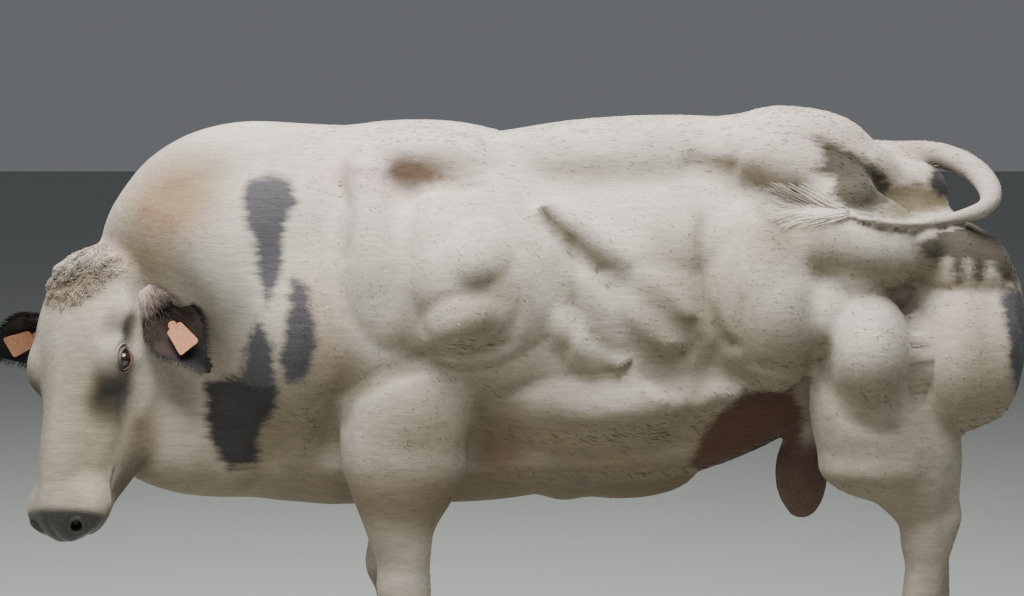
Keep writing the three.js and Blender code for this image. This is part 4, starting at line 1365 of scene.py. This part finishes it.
def eyeball(side, word):
    """A wet dark eye: brown iris, level pupil and a swelling cornea."""
    centre, across, up, out = eye_axes(side)
    look = unit(out + 0.1 * across - 0.08 * up)
    across = unit(across - look * (across @ look))
    up = np.cross(look, across)
    if up @ HEAD_OUT < 0:
        up = -up
    rings, around = 34, 56
    points, iris, pupil = [], [], []
    for i in range(rings):
        polar = math.pi * (i + 0.4) / (rings - 0.2)
        for turn in np.linspace(0, 2 * math.pi, around, endpoint=False):
            a, b = math.sin(polar) * math.cos(turn), math.sin(polar) * math.sin(turn)
            swell = 1.3 * math.exp(-((polar / 0.62) ** 4))
            way = a * across + b * up + math.cos(polar) * look
            points.append(centre + (EYE_RADIUS - 0.4 + swell) * way)
            iris.append(math.hypot(a, b) if polar < 1.5 else 2.0)
            pupil.append(math.hypot(a / 0.42, b / 0.2) if polar < 1.5 else 9.0)
    faces = ring_faces(rings, around)
    faces += [tuple(range(around)), tuple(range((rings - 1) * around, rings * around))]
    mesh = sheet_mesh(f"eyeball_{word}", np.array(points), faces)
    set_values(mesh, "iris", iris)
    set_values(mesh, "pupil", pupil)
    ball = show(f"eyeball_{word}", mesh, EYE)
    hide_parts(f"eye_{word}")
    return ball


def eye_material():
    material, tree, shader = fresh_material("eye")
    iris = attribute(tree, "iris")
    pupil = attribute(tree, "pupil")
    place = object_place(tree)
    fibres = noise_at(tree, place, 900, 2.0, 0.5)
    brown = colour_mix(tree, "MIX", fibres, srgb(30, 20, 15), srgb(54, 36, 24))
    white = colour_mix(tree, "MIX", ranged(tree, iris, 0.8, 0.92), brown, srgb(120, 98, 88))
    colour = colour_mix(tree, "MIX", ranged(tree, pupil, 0.85, 1.1), srgb(6, 6, 10), white)
    looks = {
        "Base Color": colour,
        "Roughness": 0.06,
        "Specular IOR Level": 0.7,
        "Coat Weight": 1.0,
        "Coat Roughness": 0.02,
    }
    dress(tree, shader, looks)
    return material


EYE = eye_material()


# Ears: cupped leaves as in the solids, with their own finer mesh

EARS = {
    "left": (head_point(38, 126, -106), (0.58, -0.48, -0.66), (-0.3, -0.77, 0.48)),
    "right": (head_point(90, -100, -125), (-0.86, 0.26, -0.36), (-0.25, -0.85, -0.35)),
}
EAR_LENGTH = 240
EAR_STEPS = 44
EAR_AROUND = 56


def ear_frame(word):
    root, way, face = EARS[word]
    along = unit(np.array(way))
    face = np.array(face)
    opening = unit(face - along * (face @ along))
    return root, along, opening, np.cross(along, opening)


def ear_place(word, t, turn, lift=0.0):
    """A point of the ear's surface, from its root to its tip and round its section."""
    root, along, opening, across = ear_frame(word)
    t, turn = np.broadcast_arrays(t, turn)
    half = 22 + 45 * smoothstep(t, 0, 0.45) - 58 * smoothstep(t, 0.5, 1.08) - 1.0 + lift
    depth = 34 - 16 * t
    thick = 7.5 - 4 * t + lift
    cup = smoothstep(t, 0.06, 0.3)
    u = np.cos(turn)
    bowl = depth * (1 - u * u)
    sheet = thick * np.abs(np.sin(turn)) ** 0.5
    inner = np.sin(turn) > 0
    ridges = 1.6 * np.sin(u * 15 + 2 * t) * smoothstep(t, 0.1, 0.3)
    ridges = ridges * smoothstep(t, 0.85, 0.6) * (1 - u * u)
    out = np.where(inner, sheet - bowl * cup * 0.9 + ridges, -sheet - bowl)
    stem = root + (t * EAR_LENGTH)[..., None] * along + (-30 * t * t)[..., None] * opening
    return stem + (u * half)[..., None] * across + out[..., None] * opening


def ear(word):
    steps = np.linspace(0, 1, EAR_STEPS)[:, None]
    turns = (np.arange(EAR_AROUND) + 0.5)[None, :] / EAR_AROUND * 2 * math.pi
    points = ear_place(word, steps, turns).reshape(-1, 3)
    root, along, opening, _ = ear_frame(word)
    tip = root + along * (EAR_LENGTH + 7) - opening * 40
    count = len(points)
    last = count - EAR_AROUND
    faces = ring_faces(EAR_STEPS, EAR_AROUND) + [tuple(range(EAR_AROUND))]
    faces += [(last + j, last + (j + 1) % EAR_AROUND, count) for j in range(EAR_AROUND)]
    points = np.vstack([points, tip])
    mesh = sheet_mesh(f"ear_{word}_leaf", points, faces)
    t = np.append(np.repeat(steps[:, 0], EAR_AROUND), 1.0)
    inside = np.append(np.tile(np.sin(turns[0]) > 0, EAR_STEPS), False)
    paint_ear(mesh, t, inside)
    leaf = show(f"ear_{word}_leaf", mesh, COAT)
    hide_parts(f"ear_{word}")
    return leaf


def ear_tones(t, inside):
    """Black with a white root, and a pinkish brown lining in the cup."""
    count = len(t)
    base = mixed(np.tile(EAR_PINK, (count, 1)), EAR_BLACK, smoothstep(t, 0.1, 0.26))
    lining = inside * smoothstep(t, 0.2, 0.32) * smoothstep(t, 0.8, 0.55)
    return mixed(base, EAR_LINING, 0.3 * lining)


def paint_ear(mesh, t, inside):
    write_tones(mesh, *one_tone(ear_tones(t, inside)))


EAR_LINING = srgb(96, 70, 58)


# Ear tags: thin soft-cornered panels on a stud, with a button behind


def tag_material():
    material, tree, shader = fresh_material("tag")
    place = object_place(tree)
    scuffs = noise_at(tree, place, 160, 4.0, 0.7)
    worn = ranged(tree, scuffs, 0.35, 0.75)
    looks = {
        "Base Color": colour_mix(tree, "MIX", worn, srgb(206, 142, 106), srgb(176, 118, 86)),
        "Roughness": ranged(tree, scuffs, 0.2, 0.8, 0.38, 0.6),
        "Normal": bumped(tree, scuffs, 0.2, 0.0006),
    }
    dress(tree, shader, looks)
    return material


TAG = tag_material()


def rounded(bm, offset, segments=3):
    edges = [edge for edge in bm.edges if edge.calc_face_angle(0) > 0.5]
    bmesh.ops.bevel(bm, geom=edges, offset=offset, segments=segments, profile=0.5, affect="EDGES")


def tag(word):
    root, along, opening, across = ear_frame(word)

    def turned(bm, t, out):
        centre = root + along * (t * EAR_LENGTH) + opening * out
        for vert in bm.verts:
            x, y, z = vert.co
            vert.co = to_frame(centre + x * across + y * along + z * opening)

    pieces = bmesh.new()
    panel = bmesh.new()
    bmesh.ops.create_cube(panel, size=1)
    for vert in panel.verts:
        narrow = 1 - 0.28 * (vert.co.y < 0)
        vert.co = (vert.co.x * 54 * narrow, vert.co.y * 70, vert.co.z * 3)
    upright = [edge for edge in panel.edges if abs(edge.verts[0].co.z - edge.verts[1].co.z) > 1]
    bmesh.ops.bevel(panel, geom=upright, offset=7, segments=5, profile=0.5, affect="EDGES")
    rounded(panel, 0.8, 2)
    turned(panel, 0.62, -10.5)
    knob = bmesh.new()
    bmesh.ops.create_cone(knob, cap_ends=True, segments=36, radius1=11, radius2=10, depth=29)
    rounded(knob, 1.2, 2)
    turned(knob, 0.45, -25)
    for part in (panel, knob):
        pieces.from_mesh(mesh_from(part, "part"))
    mesh = mesh_from(pieces, f"tag_{word}")
    shown = show(f"tag_{word}", mesh, TAG)
    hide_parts(f"ear_tag_{word}")
    button = bmesh.new()
    bmesh.ops.create_cone(button, cap_ends=True, segments=36, radius1=14, radius2=12.5, depth=15.5)
    rounded(button, 1.5, 3)
    turned(button, 0.45, -52)
    mesh = mesh_from(button, f"tag_button_{word}")
    shown = show(f"tag_button_{word}", mesh, TAG)
    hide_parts(f"ear_tag_button_{word}")


# Hooves: two claws and two dewclaws a foot


def horn_material():
    material, tree, shader = fresh_material("horn")
    place = object_place(tree)
    bands = add_node(
        tree,
        "TexWave",
        {"Scale": 70.0, "Distortion": 2.4, "Detail": 2.0},
        {"Vector": place},
        wave_type="BANDS",
        bands_direction="Z",
    ).outputs["Fac"]
    drawn = add_node(tree, "Mapping", {"Scale": (1, 1, 0.12)}, {"Vector": place})
    streaks = noise_at(tree, drawn.outputs["Vector"], 240)
    stained = colour_mix(tree, "MIX", streaks, srgb(58, 48, 40), srgb(104, 88, 70))
    banded = ranged(tree, bands, 0.2, 0.9, 0.0, 0.35)
    looks = {
        "Base Color": colour_mix(tree, "MIX", banded, stained, srgb(128, 110, 88)),
        "Roughness": ranged(tree, streaks, 0.2, 0.8, 0.42, 0.62),
        "Normal": bumped(tree, combined(tree, "ADD", bands, streaks), 0.35, 0.0012),
    }
    dress(tree, shader, looks)
    return material


HORN = horn_material()
CLAW_AROUND = 48
CLAW_LEVELS = 22


def claw(foot, side, word):
    """One claw, flat on the ground, under the slanted coronet."""
    x, y = FEET[foot]
    size = 1.04 if foot.startswith("fore") else 0.97
    toe, heel = x - 92 * size, x + 50 * size
    inner, outer = y + side * 3.5, y + side * 60 * size
    turn = np.arange(CLAW_AROUND) / CLAW_AROUND * 2 * math.pi
    c, n = np.cos(turn), np.sin(turn)
    bow = np.where(n >= 0, np.abs(n) ** 0.75, n * 0.06)
    rings = []
    for i in range(CLAW_LEVELS + 1):
        share = i / CLAW_LEVELS
        front = toe + 56 * size * share
        back = heel + 8 * share - 6 * math.sin(share * math.pi)
        width = (outer - inner) * (1 - 0.14 * share)
        ridge = 0.5 * math.sin(share * 44) * smoothstep(np.array(share), 0.05, 0.3)
        px = (front + back) / 2 - c * ((back - front) / 2 + ridge)
        py = inner + side * 2 + bow * (width - side * 2)
        top = CORONET - 14 - (px - x) * math.tan(CORONET_TILT) - 1.5
        pz = top * share
        scale = 1 - 0.04 * smoothstep(np.array(share), 0.1, 0.0)
        rings.append(np.stack([(px - x) * scale + x, (py - y) * scale + y, pz], axis=1))
    points = np.array(rings)
    crown = points[-1].mean(0)
    points = np.vstack([points.reshape(-1, 3), crown])
    last = CLAW_LEVELS * CLAW_AROUND
    faces = ring_faces(CLAW_LEVELS + 1, CLAW_AROUND) + [tuple(range(CLAW_AROUND))]
    faces += [(last + j, last + (j + 1) % CLAW_AROUND, len(points) - 1) for j in range(CLAW_AROUND)]
    node = f"{foot}_claw_{word}"
    name = f"{foot}_hoof_{word}"
    shown = show(name, sheet_mesh(name, points, faces), HORN)
    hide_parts(node)
    return shown


def dewclaw(foot, side, word):
    """A blunt horn behind the fetlock."""
    x, y = FEET[foot]
    back = x + (20 if foot.startswith("fore") else 24)
    horn = muscle((back + 34, y + side * 26, 132), (back + 66, y + side * 32, 84), 30, 28, 10)
    around, levels = 24, 14
    points = []
    for i in range(levels + 1):
        polar = math.pi * (0.04 + 0.92 * i / levels)
        for turn in np.arange(around) / around * 2 * math.pi:
            ring = math.sin(polar)
            local = np.array([-math.cos(polar), ring * math.cos(turn), ring * math.sin(turn)])
            points.append(horn["centre"] + (local * horn["half"] * 0.985) @ horn["axes"])
    faces = ring_faces(levels + 1, around)
    faces += [tuple(range(around)), tuple(range(levels * around, (levels + 1) * around))]
    name = f"{foot}_spur_{word}"
    shown = show(name, sheet_mesh(name, np.array(points), faces), HORN)
    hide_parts(f"{foot}_dewclaw_{word}")
    return shown


# Coat: tapering three-sided tufts, each along a centre line from its root to its tip

UV_PATCH = 0.003  # size of a tuft's own patch on the unwrap


def tuft_mesh(name, lines, half_widths, ups, unwrap, tones):
    """All tufts of one piece, with their roots' place on the unwrap and their roots' markings."""
    count, stops = lines.shape[:2]
    rings = stops - 1
    tangent = each_unit(np.gradient(lines, axis=1))
    side = each_unit(np.cross(tangent, ups[:, None, :]))
    top = np.cross(side, tangent)
    share = np.arange(rings) / rings
    wide = half_widths[:, None, None] * (1 - share**1.6 * 0.75)[None, :, None]
    corners = [
        lines[:, :rings] - side[:, :rings] * wide,
        lines[:, :rings] + side[:, :rings] * wide,
        lines[:, :rings] + top[:, :rings] * wide * 0.7,
    ]
    body = np.stack(corners, axis=2).reshape(count, rings * 3, 3)
    points = np.concatenate([body, lines[:, -1:]], axis=1)
    each = rings * 3 + 1
    quads = [
        (i * 3 + 3 + j, i * 3 + 3 + (j + 1) % 3, i * 3 + (j + 1) % 3, i * 3 + j)
        for i in range(rings - 1)
        for j in range(3)
    ]
    last = (rings - 1) * 3
    tips = [(each - 1, last + (j + 1) % 3, last + j) for j in range(3)] + [(0, 1, 2)]
    start = (np.arange(count) * each)[:, None, None]
    quads = (np.array(quads, int)[None] + start).reshape(-1, 4) if quads else np.zeros((0, 4), int)
    tips = (np.array(tips)[None] + start).reshape(-1, 3)
    mesh = bpy.data.meshes.new(name)
    mesh.from_pydata(to_frame(points.reshape(-1, 3)).tolist(), [], quads.tolist() + tips.tolist())
    write_tones(mesh, *(np.repeat(values, each, axis=0) for values in tones))
    spots = np.zeros((each, 2))
    for i in range(rings):
        for j in range(3):
            spots[i * 3 + j] = ((i + 0.5) / (rings + 1) - 0.5, j / 2 - 0.5)
    spots[-1] = (0.5, 0.0)
    places = (unwrap[:, None, :] + spots[None] * UV_PATCH).reshape(-1, 2)
    layer = mesh.uv_layers.new(name="OFBake")
    corner_of = np.empty(len(mesh.loops), np.int32)
    mesh.loops.foreach_get("vertex_index", corner_of)
    layer.data.foreach_set("uv", places[corner_of].astype(np.float32).ravel())
    mesh.polygons.foreach_set("use_smooth", np.ones(len(mesh.polygons), bool))
    return mesh


def root_tones(points, normals):
    base, patch, dark = coat_tones(points, normals)
    nothing = np.zeros(len(points))
    return [base, patch, dark, nothing, nothing]


def round_unwrap(points, centre, axis, low, high):
    """Places on a tube's unwrap: round an axis, and along it between two heights."""
    axis = unit(np.array(axis, float))
    first = unit(np.cross(axis, (0.31, 0.9, 0.1)))
    second = np.cross(axis, first)
    away = points - np.array(centre, float)
    turn = np.arctan2(away @ second, away @ first) / (2 * math.pi) + 0.5
    share = np.clip((away @ axis - low) / (high - low), 0, 1)
    return np.stack([0.01 + 0.98 * turn, 0.01 + 0.98 * share], axis=1)


def legs_unwrap(points):
    """Each leg, the tail, scrotum and sheath in an upright strip of its own."""
    strips = np.zeros((len(points), 2))
    hind = points[:, 0] > 330
    near = points[:, 1] < 0
    for strip, (behind, left) in enumerate(((0, 1), (0, 0), (1, 1), (1, 0))):
        mine = (hind == bool(behind)) & (near == bool(left))
        x = 950 if behind else -262
        place = round_unwrap(points[mine], (x, -200 if left else 200, 0), (0, 0, 1), 60, 1000)
        strips[mine] = place * (0.24, 1) + (strip * 0.25, 0)
    return strips


def surface_samples(mesh):
    """The skin's triangles as corners, normals and areas, in the lists' frame."""
    mesh.calc_loop_triangles()
    corners = np.empty(len(mesh.loop_triangles) * 3, np.int32)
    mesh.loop_triangles.foreach_get("vertices", corners)
    triangles = to_lists(mesh_points(mesh))[corners.reshape(-1, 3)]
    normals = np.cross(triangles[:, 1] - triangles[:, 0], triangles[:, 2] - triangles[:, 0])
    areas = np.linalg.norm(normals, axis=1)
    return triangles, normals / np.maximum(areas, 1e-9)[:, None], areas / 2


def scatter(triangles, normals, areas, density, count):
    """Random places on the skin, as dense as a test says."""
    middle = triangles.mean(1)
    weight = areas * density(middle, normals)
    chosen = RANDOM.choice(len(areas), count, p=weight / weight.sum())
    a, b = RANDOM.random(count), RANDOM.random(count)
    over = a + b > 1
    a[over], b[over] = 1 - a[over], 1 - b[over]
    corner = triangles[chosen]
    first, second = corner[:, 1] - corner[:, 0], corner[:, 2] - corner[:, 0]
    points = corner[:, 0] + a[:, None] * first + b[:, None] * second
    return points, normals[chosen]


def hair_flow(points):
    """Which way the hair lies: back and down the body, down the face, along the tail."""
    z = points[:, 2]
    flow = np.tile((0.72, 0.0, -0.6), (len(points), 1))
    top = smoothstep(z, 1330, 1440)
    flow = mixed(flow, np.array((1.0, 0.0, -0.05)), top)
    flow = mixed(flow, np.array((0.12, 0.0, -1.0)), smoothstep(z, 760, 600))
    flow = mixed(flow, HEAD_ALONG, head_share(points, (30, 0), (-40, 20)))
    away, t = nearest_on_path(points, TAIL_PATH[::3])
    on = smoothstep(tail_thickness(t) + 12 - away, 0, 8) * (t > 0.08)
    step = np.clip((t * (len(TAIL_PATH) - 2)).astype(int), 0, len(TAIL_PATH) - 2)
    return mixed(flow, TAIL_PATH[step + 1] - TAIL_PATH[step], on)


def lying_tufts(points, normals, long, stand, stops=3):
    """Centre lines of tufts that lie along the hair's flow and lift a little at their tips."""
    flow = hair_flow(points)
    flow = each_unit(flow - normals * (flow * normals).sum(1)[:, None])
    sideways = np.cross(normals, flow)
    stray = RANDOM.normal(0, 0.22, len(points))[:, None]
    flow = flow * np.cos(stray) + sideways * np.sin(stray)
    lines = np.empty((len(points), stops, 3))
    for k, s in enumerate(np.linspace(0, 1, stops)):
        rise = -1.0 + stand * (1.6 * s - 0.6 * s * s)
        drift = sideways * (stray * 0.25 * s * s)
        lines[:, k] = points + flow * (long * s)[:, None] + drift * long[:, None]
        lines[:, k] += normals * rise[:, None]
    return lines


def lying_piece(name, samples, density, count, length_of, width, stand, unwrap):
    points, normals = scatter(*samples, density, count)
    long = length_of(points, normals) * RANDOM.uniform(0.75, 1.2, count)
    lifted = stand * long * RANDOM.uniform(0.5, 1.3, count)
    lines = lying_tufts(points, normals, long, lifted)
    widths = width * RANDOM.uniform(0.7, 1.25, count)
    mesh = tuft_mesh(name, lines, widths, normals, unwrap(points), root_tones(points, normals))
    return show(name, mesh, COAT)


def places(points):
    """Shares of head, neck, limb and tail at each point, and how bare it is."""
    own_head = head_share(points, (25, 5), (-50, -10))
    x, _, z = points.T
    limb = smoothstep(z, 720, 640)
    neck = smoothstep(x, -420, -500) * (1 - own_head)
    hairless = np.clip(nose_mask(points) + bare_mask(points), 0, 1)
    return own_head, neck, limb, 1 - hairless


def trunk_density(points, normals):
    own_head, neck, limb, haired = places(points)
    edge = 1 + 1.2 * smoothstep(np.abs(normals[:, 2]), 0.6, 0.95)
    return (1 - own_head) * (1 - neck) * (1 - limb) * haired * edge


def neck_density(points, normals):
    _, neck, limb, haired = places(points)
    edge = 1 + 1.5 * smoothstep(np.abs(normals[:, 2]), 0.55, 0.95)
    return neck * (1 - limb) * haired * edge


def limb_density(points, normals):
    own_head, _, limb, haired = places(points)
    crown = 1 + 5 * smoothstep(points[:, 2], 130, 90)
    return limb * (1 - own_head) * haired * crown


def face_density(points, normals):
    own_head, _, _, haired = places(points)
    local = mirrored(in_head(points))
    eye = np.linalg.norm(local - EYE_AT, axis=1)
    return own_head * haired * smoothstep(eye, 24, 40)


def trunk_length(points, normals):
    belly = smoothstep(-normals[:, 2], 0.3, 0.9)
    return 15 + 4 * smoothstep(points[:, 2], 1300, 1420) + 12 * belly


def neck_length(points, normals):
    return 13 + 9 * smoothstep(-normals[:, 2], 0.4, 0.95)


def limb_length(points, normals):
    behind = smoothstep(normals[:, 0], 0.3, 0.9)
    return 9 + 5 * behind + 7 * smoothstep(points[:, 2], 128, 96)


def face_length(points, normals):
    poll = smoothstep(in_head(points)[:, 0], 110, 20)
    return 6.5 + 7 * poll


def short_coat(skin_mesh):
    samples = surface_samples(skin_mesh)

    def round_trunk(points):
        return round_unwrap(points, (0, 0, 1060), (1, 0, 0), -720, 1160)

    def round_head(points):
        return round_unwrap(points, head_point(0, 0, -100), HEAD_ALONG, -80, 620)

    lying_piece("coat_trunk", samples, trunk_density, 19500, trunk_length, 1.2, 0.08, round_trunk)
    lying_piece("coat_neck", samples, neck_density, 19000, neck_length, 0.85, 0.05, round_trunk)
    lying_piece("coat_limbs", samples, limb_density, 18000, limb_length, 1.0, 0.1, legs_unwrap)
    lying_piece("coat_face", samples, face_density, 17000, face_length, 0.6, 0.09, round_head)


POLL_CURLS = 3600


def poll_curls(skin_mesh):
    """Curling locks heaped on the poll and over the forehead."""
    samples = surface_samples(skin_mesh)

    def crown(points, normals):
        local = in_head(points)
        near_crown = smoothstep(from_crown(local), 1.0, 0.45)
        return near_crown * (local[:, 2] > -90) * (head_field(points) < 12)

    points, normals = scatter(*samples, crown, POLL_CURLS)
    local = in_head(points)
    clump = 0.5 + 0.5 * np.sin(local[:, 0] / 9.5 + 1.7 * np.sin(local[:, 1] / 11.0))
    start = RANDOM.normal(0, 0.35, POLL_CURLS) + local[:, 1] / 40 + clump * 1.6
    fringe = from_crown(local)
    long = RANDOM.uniform(18, 29, POLL_CURLS) * (1 - 0.45 * fringe)
    twist = np.where(np.sin(local[:, 1] / 17 + local[:, 0] / 23) > 0, 1, -1)
    coil = twist * RANDOM.uniform(1.4, 3.2, POLL_CURLS)
    flow = each_unit(HEAD_ALONG - normals * (normals @ HEAD_ALONG)[:, None])
    sideways = np.cross(normals, flow)
    stops = 7
    lines = np.empty((POLL_CURLS, stops, 3))
    place = points - normals * 1.5
    for k in range(stops):
        lines[:, k] = place
        s = k / (stops - 1)
        angle = start + coil * s
        rise = (0.5 * math.cos(s * 2.7) + 0.06) * (0.6 + 0.7 * clump) * (1.15 - 0.6 * fringe)
        step = flow * np.cos(angle)[:, None] + sideways * np.sin(angle)[:, None]
        step = step + normals * rise[:, None]
        place = place + step * (long / (stops - 1))[:, None]
    widths = RANDOM.uniform(0.8, 1.5, POLL_CURLS)
    tones = root_tones(points, normals)
    # Painted shade: curls in the lower clumps are darker.
    tones[0] = tones[0] * (0.84 + 0.2 * clump)[:, None]
    unwrap = round_unwrap(points, head_point(0, 0, -100), HEAD_ALONG, -120, 200)
    mesh = tuft_mesh("poll_curls", lines, widths, normals, unwrap, tones)
    return show("poll_curls", mesh, COAT)


def ear_fringe(word):
    """Hair along an ear's two edges, and longer hair in the mouth of its cup."""
    _, along, opening, _ = ear_frame(word)
    edge_count, cup_count, root_count = 900, 420, 380
    t = np.concatenate(
        [
            RANDOM.uniform(0.06, 1.0, edge_count),
            RANDOM.uniform(0.05, 0.45, cup_count),
            RANDOM.uniform(0.0, 0.22, root_count),
        ]
    )
    edge_side = RANDOM.choice((0.0, math.pi), edge_count) + RANDOM.normal(0, 0.24, edge_count)
    turn = np.concatenate(
        [edge_side, RANDOM.uniform(0.5, 2.6, cup_count), RANDOM.uniform(0, 2 * math.pi, root_count)]
    )
    count = len(t)
    points = ear_place(word, t, turn)
    middle = ear_place(word, t, np.full(count, math.pi / 2)) * 0.5
    middle = middle + ear_place(word, t, np.full(count, -1.57)) * 0.5
    outward = each_unit(points - middle)
    edged = np.arange(count) < edge_count
    cupped = ~edged & (np.arange(count) < edge_count + cup_count)
    long = np.where(edged, 15.0, np.where(cupped, 26.0, 18.0)) * RANDOM.uniform(0.6, 1.25, count)
    lean = np.where(edged, 0.75, np.where(cupped, 0.35, 0.3))[:, None]
    way = along * 0.8 + outward * lean + opening * np.where(cupped, 0.55, 0.1)[:, None]
    way = each_unit(way + RANDOM.normal(0, 0.16, (count, 3)))
    stops = 4
    lines = np.empty((count, stops, 3))
    for k, s in enumerate(np.linspace(0, 1, stops)):
        curve = along * (0.25 * s * s)
        lines[:, k] = points - outward * 0.8 + (way * s + curve) * long[:, None]
    tones = ear_tones(t, cupped)
    light = np.where(cupped, 0.5 * smoothstep(t, 0.42, 0.1), 0)
    tones = one_tone(mixed(tones, CREAM, light))
    widths = RANDOM.uniform(0.5, 0.9, count)
    turned = 0.96 * (turn % (2 * math.pi)) / (2 * math.pi)
    unwrap = np.stack([0.02 + 0.96 * t, 0.02 + turned], axis=1)
    ups = np.cross(way, np.cross(outward, way) + 1e-4)
    mesh = tuft_mesh(f"ear_{word}_hair", lines, widths, ups, unwrap, tones)
    return show(f"ear_{word}_hair", mesh, COAT)


def lashes():
    """Short dark lashes on both upper lids."""
    lines, ups = [], []
    for side in (1, -1):
        centre, across, up, out = eye_axes(side)
        for turn in np.linspace(0.25, math.pi - 0.25, 44):
            rim = across * 21 * math.cos(turn) + up * 12.5 * math.sin(turn)
            ball = math.sqrt(max((EYE_RADIUS + 3) ** 2 - rim @ rim, 4))
            root = centre + rim + out * ball
            way = unit(out * 0.9 + unit(rim) * 0.45 - up * 0.25 + RANDOM.normal(0, 0.08, 3))
            long = RANDOM.uniform(9, 14)
            lines.append([root + way * long * s + up * (3.0 * s * s) for s in np.linspace(0, 1, 4)])
            ups.append(up)
    lines, ups = np.array(lines), np.array(ups)
    count = len(lines)
    dark = one_tone(np.tile(srgb(60, 50, 42), (count, 1)))
    unwrap = np.stack([np.linspace(0.02, 0.98, count), np.full(count, 0.5)], axis=1)
    mesh = tuft_mesh("lashes", lines, np.full(count, 0.35), ups, unwrap, dark)
    return show("lashes", mesh, COAT)


SWITCH_STRANDS = 620


def near_side(x, z):
    """Where the near side's surface lies at many places, looking in along y."""
    y = np.full(len(x), -470.0)
    for _ in range(60):
        y += np.clip(body_field(np.stack([x, y, z], axis=1)) * 0.7, -4, 40)
    return y


def tail_switch():
    """The brush at the tail's end, combed forwards over the thigh."""
    count, stops = SWITCH_STRANDS, 9
    fan = RANDOM.normal(0, 0.5, count).clip(-1.15, 1.15)
    reach = 1 - 0.28 * np.abs(fan) + RANDOM.uniform(-0.16, 0.05, count)
    begin = RANDOM.uniform(-34, 26, count)
    depth = RANDOM.uniform(0, 1, count)
    lines = np.empty((count, stops, 3))
    for k, s in enumerate(np.linspace(0, 1, stops)):
        x = 704 - begin - (150 * reach + begin * 0.4) * s
        wave = 5 * np.sin(5.2 * s + fan * 3 + depth * 2) * s
        z = 1281 + fan * (7 + 40 * s**1.25) + 8 * s * s + wave
        thick = 7 - 3 * s + (9 + 9 * math.sin(math.pi * min(s * 1.3, 1))) * depth * (1 - 0.75 * s)
        lines[:, k] = np.stack([x, near_side(x, z) - thick, z], axis=1)
    points = lines[:, 0]
    ups = np.tile((0.0, -1.0, 0.0), (count, 1))
    tones = root_tones(points, ups)
    tones[0] = np.tile(srgb(212, 202, 188), (count, 1)) * RANDOM.uniform(0.88, 1.06, count)[:, None]
    tones[2] = np.zeros(count)
    widths = RANDOM.uniform(1.0, 1.9, count)
    unwrap = np.stack([0.05 + 0.9 * depth, 0.5 + 0.4 * fan], axis=1)
    mesh = tuft_mesh("tail_brush", lines, widths, ups, unwrap, tones)
    brush = show("tail_brush", mesh, COAT)
    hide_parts("tail_switch")
    return brush


def nostril_material():
    """The wet dark nose, with painted shade deepening to black inside the opening."""
    material, tree, shader = fresh_material("nostril")
    place = object_place(tree)
    hair = haired_skin(tree)
    pores, nose_tone = nose_leather(tree, place)
    nose = attribute(tree, "nose")
    colour = colour_mix(tree, "MIX", nose, hair.outputs["Color"], nose_tone)
    # Painted shade: the colour goes to black as the opening deepens.
    within = ranged(tree, attribute(tree, "inside"), 0.1, 0.9)
    looks = {
        "Base Color": colour_mix(tree, "MIX", within, colour, srgb(16, 11, 10)),
        "Roughness": damp(tree, nose),
        "Specular IOR Level": 0.28,
        "Normal": bumped(tree, pores, 0.5, 0.002),
    }
    dress(tree, shader, looks)
    return material


NOSTRIL_SKIN = nostril_material()

for side, word in ((1, "left"), (-1, "right")):
    eyelids(side, word)
    eyeball(side, word)
    nostril(side, word)
    ear(word)
    ear_fringe(word)
    tag(word)
for foot in FEET:
    for side, word in ((-1, "left"), (1, "right")):
        claw(foot, side, word)
        dewclaw(foot, side, word)
short_coat(skin.data)
poll_curls(skin.data)
lashes()
tail_switch()


# Floor, light and camera


LIT_PLACE = (0, 0, 0.9)  # where the lamps point, in metres
CAMERA_AT = (0, -6500, 1579)
FOCAL_LENGTH = 99.35
SENSOR_WIDTH = 36
LOOK_DOWN = 4.51  # degrees


def studio():
    """A plain pale floor under soft light from above and before."""
    bm = bmesh.new()
    bmesh.ops.create_grid(bm, x_segments=1, y_segments=1, size=40)
    mesh = mesh_from(bm, "floor")
    material, _, shader = fresh_material("floor")
    shader.inputs["Base Color"].default_value = (0.42, 0.44, 0.41, 1)
    shader.inputs["Roughness"].default_value = 0.9
    mesh.materials.append(material)
    floor = in_scene("floor", mesh)
    world = bpy.data.worlds.new("studio")
    world.use_nodes = True
    background = world.node_tree.nodes["Background"]
    background.inputs["Color"].default_value = (0.9, 0.94, 1.0, 1)
    background.inputs["Strength"].default_value = 0.15
    bpy.context.scene.world = world
    for name, place, size, power in (
        ("sky_panel", (-0.5, -1.3, 5.2), 4.0, 570),
        ("front_panel", (-4.5, -6.0, 3.4), 3.0, 45),
    ):
        light = bpy.data.lights.new(name, "AREA")
        light.shape = "DISK"
        light.size = size
        light.energy = power
        lamp = in_scene(name, light)
        lamp.location = place
        towards = Vector(LIT_PLACE) - Vector(place)
        lamp.rotation_euler = towards.to_track_quat("-Z", "Y").to_euler()


def aim_camera():
    """The photograph's view: a long lens at the height of the back, a little down."""
    data = bpy.data.cameras.new("camera")
    data.sensor_width = SENSOR_WIDTH
    data.lens = FOCAL_LENGTH
    camera = in_scene("camera", data)
    camera.location = to_frame(CAMERA_AT)
    camera.rotation_euler = (math.radians(90 - LOOK_DOWN), 0, 0)
    bpy.context.scene.camera = camera


studio()
aim_camera()
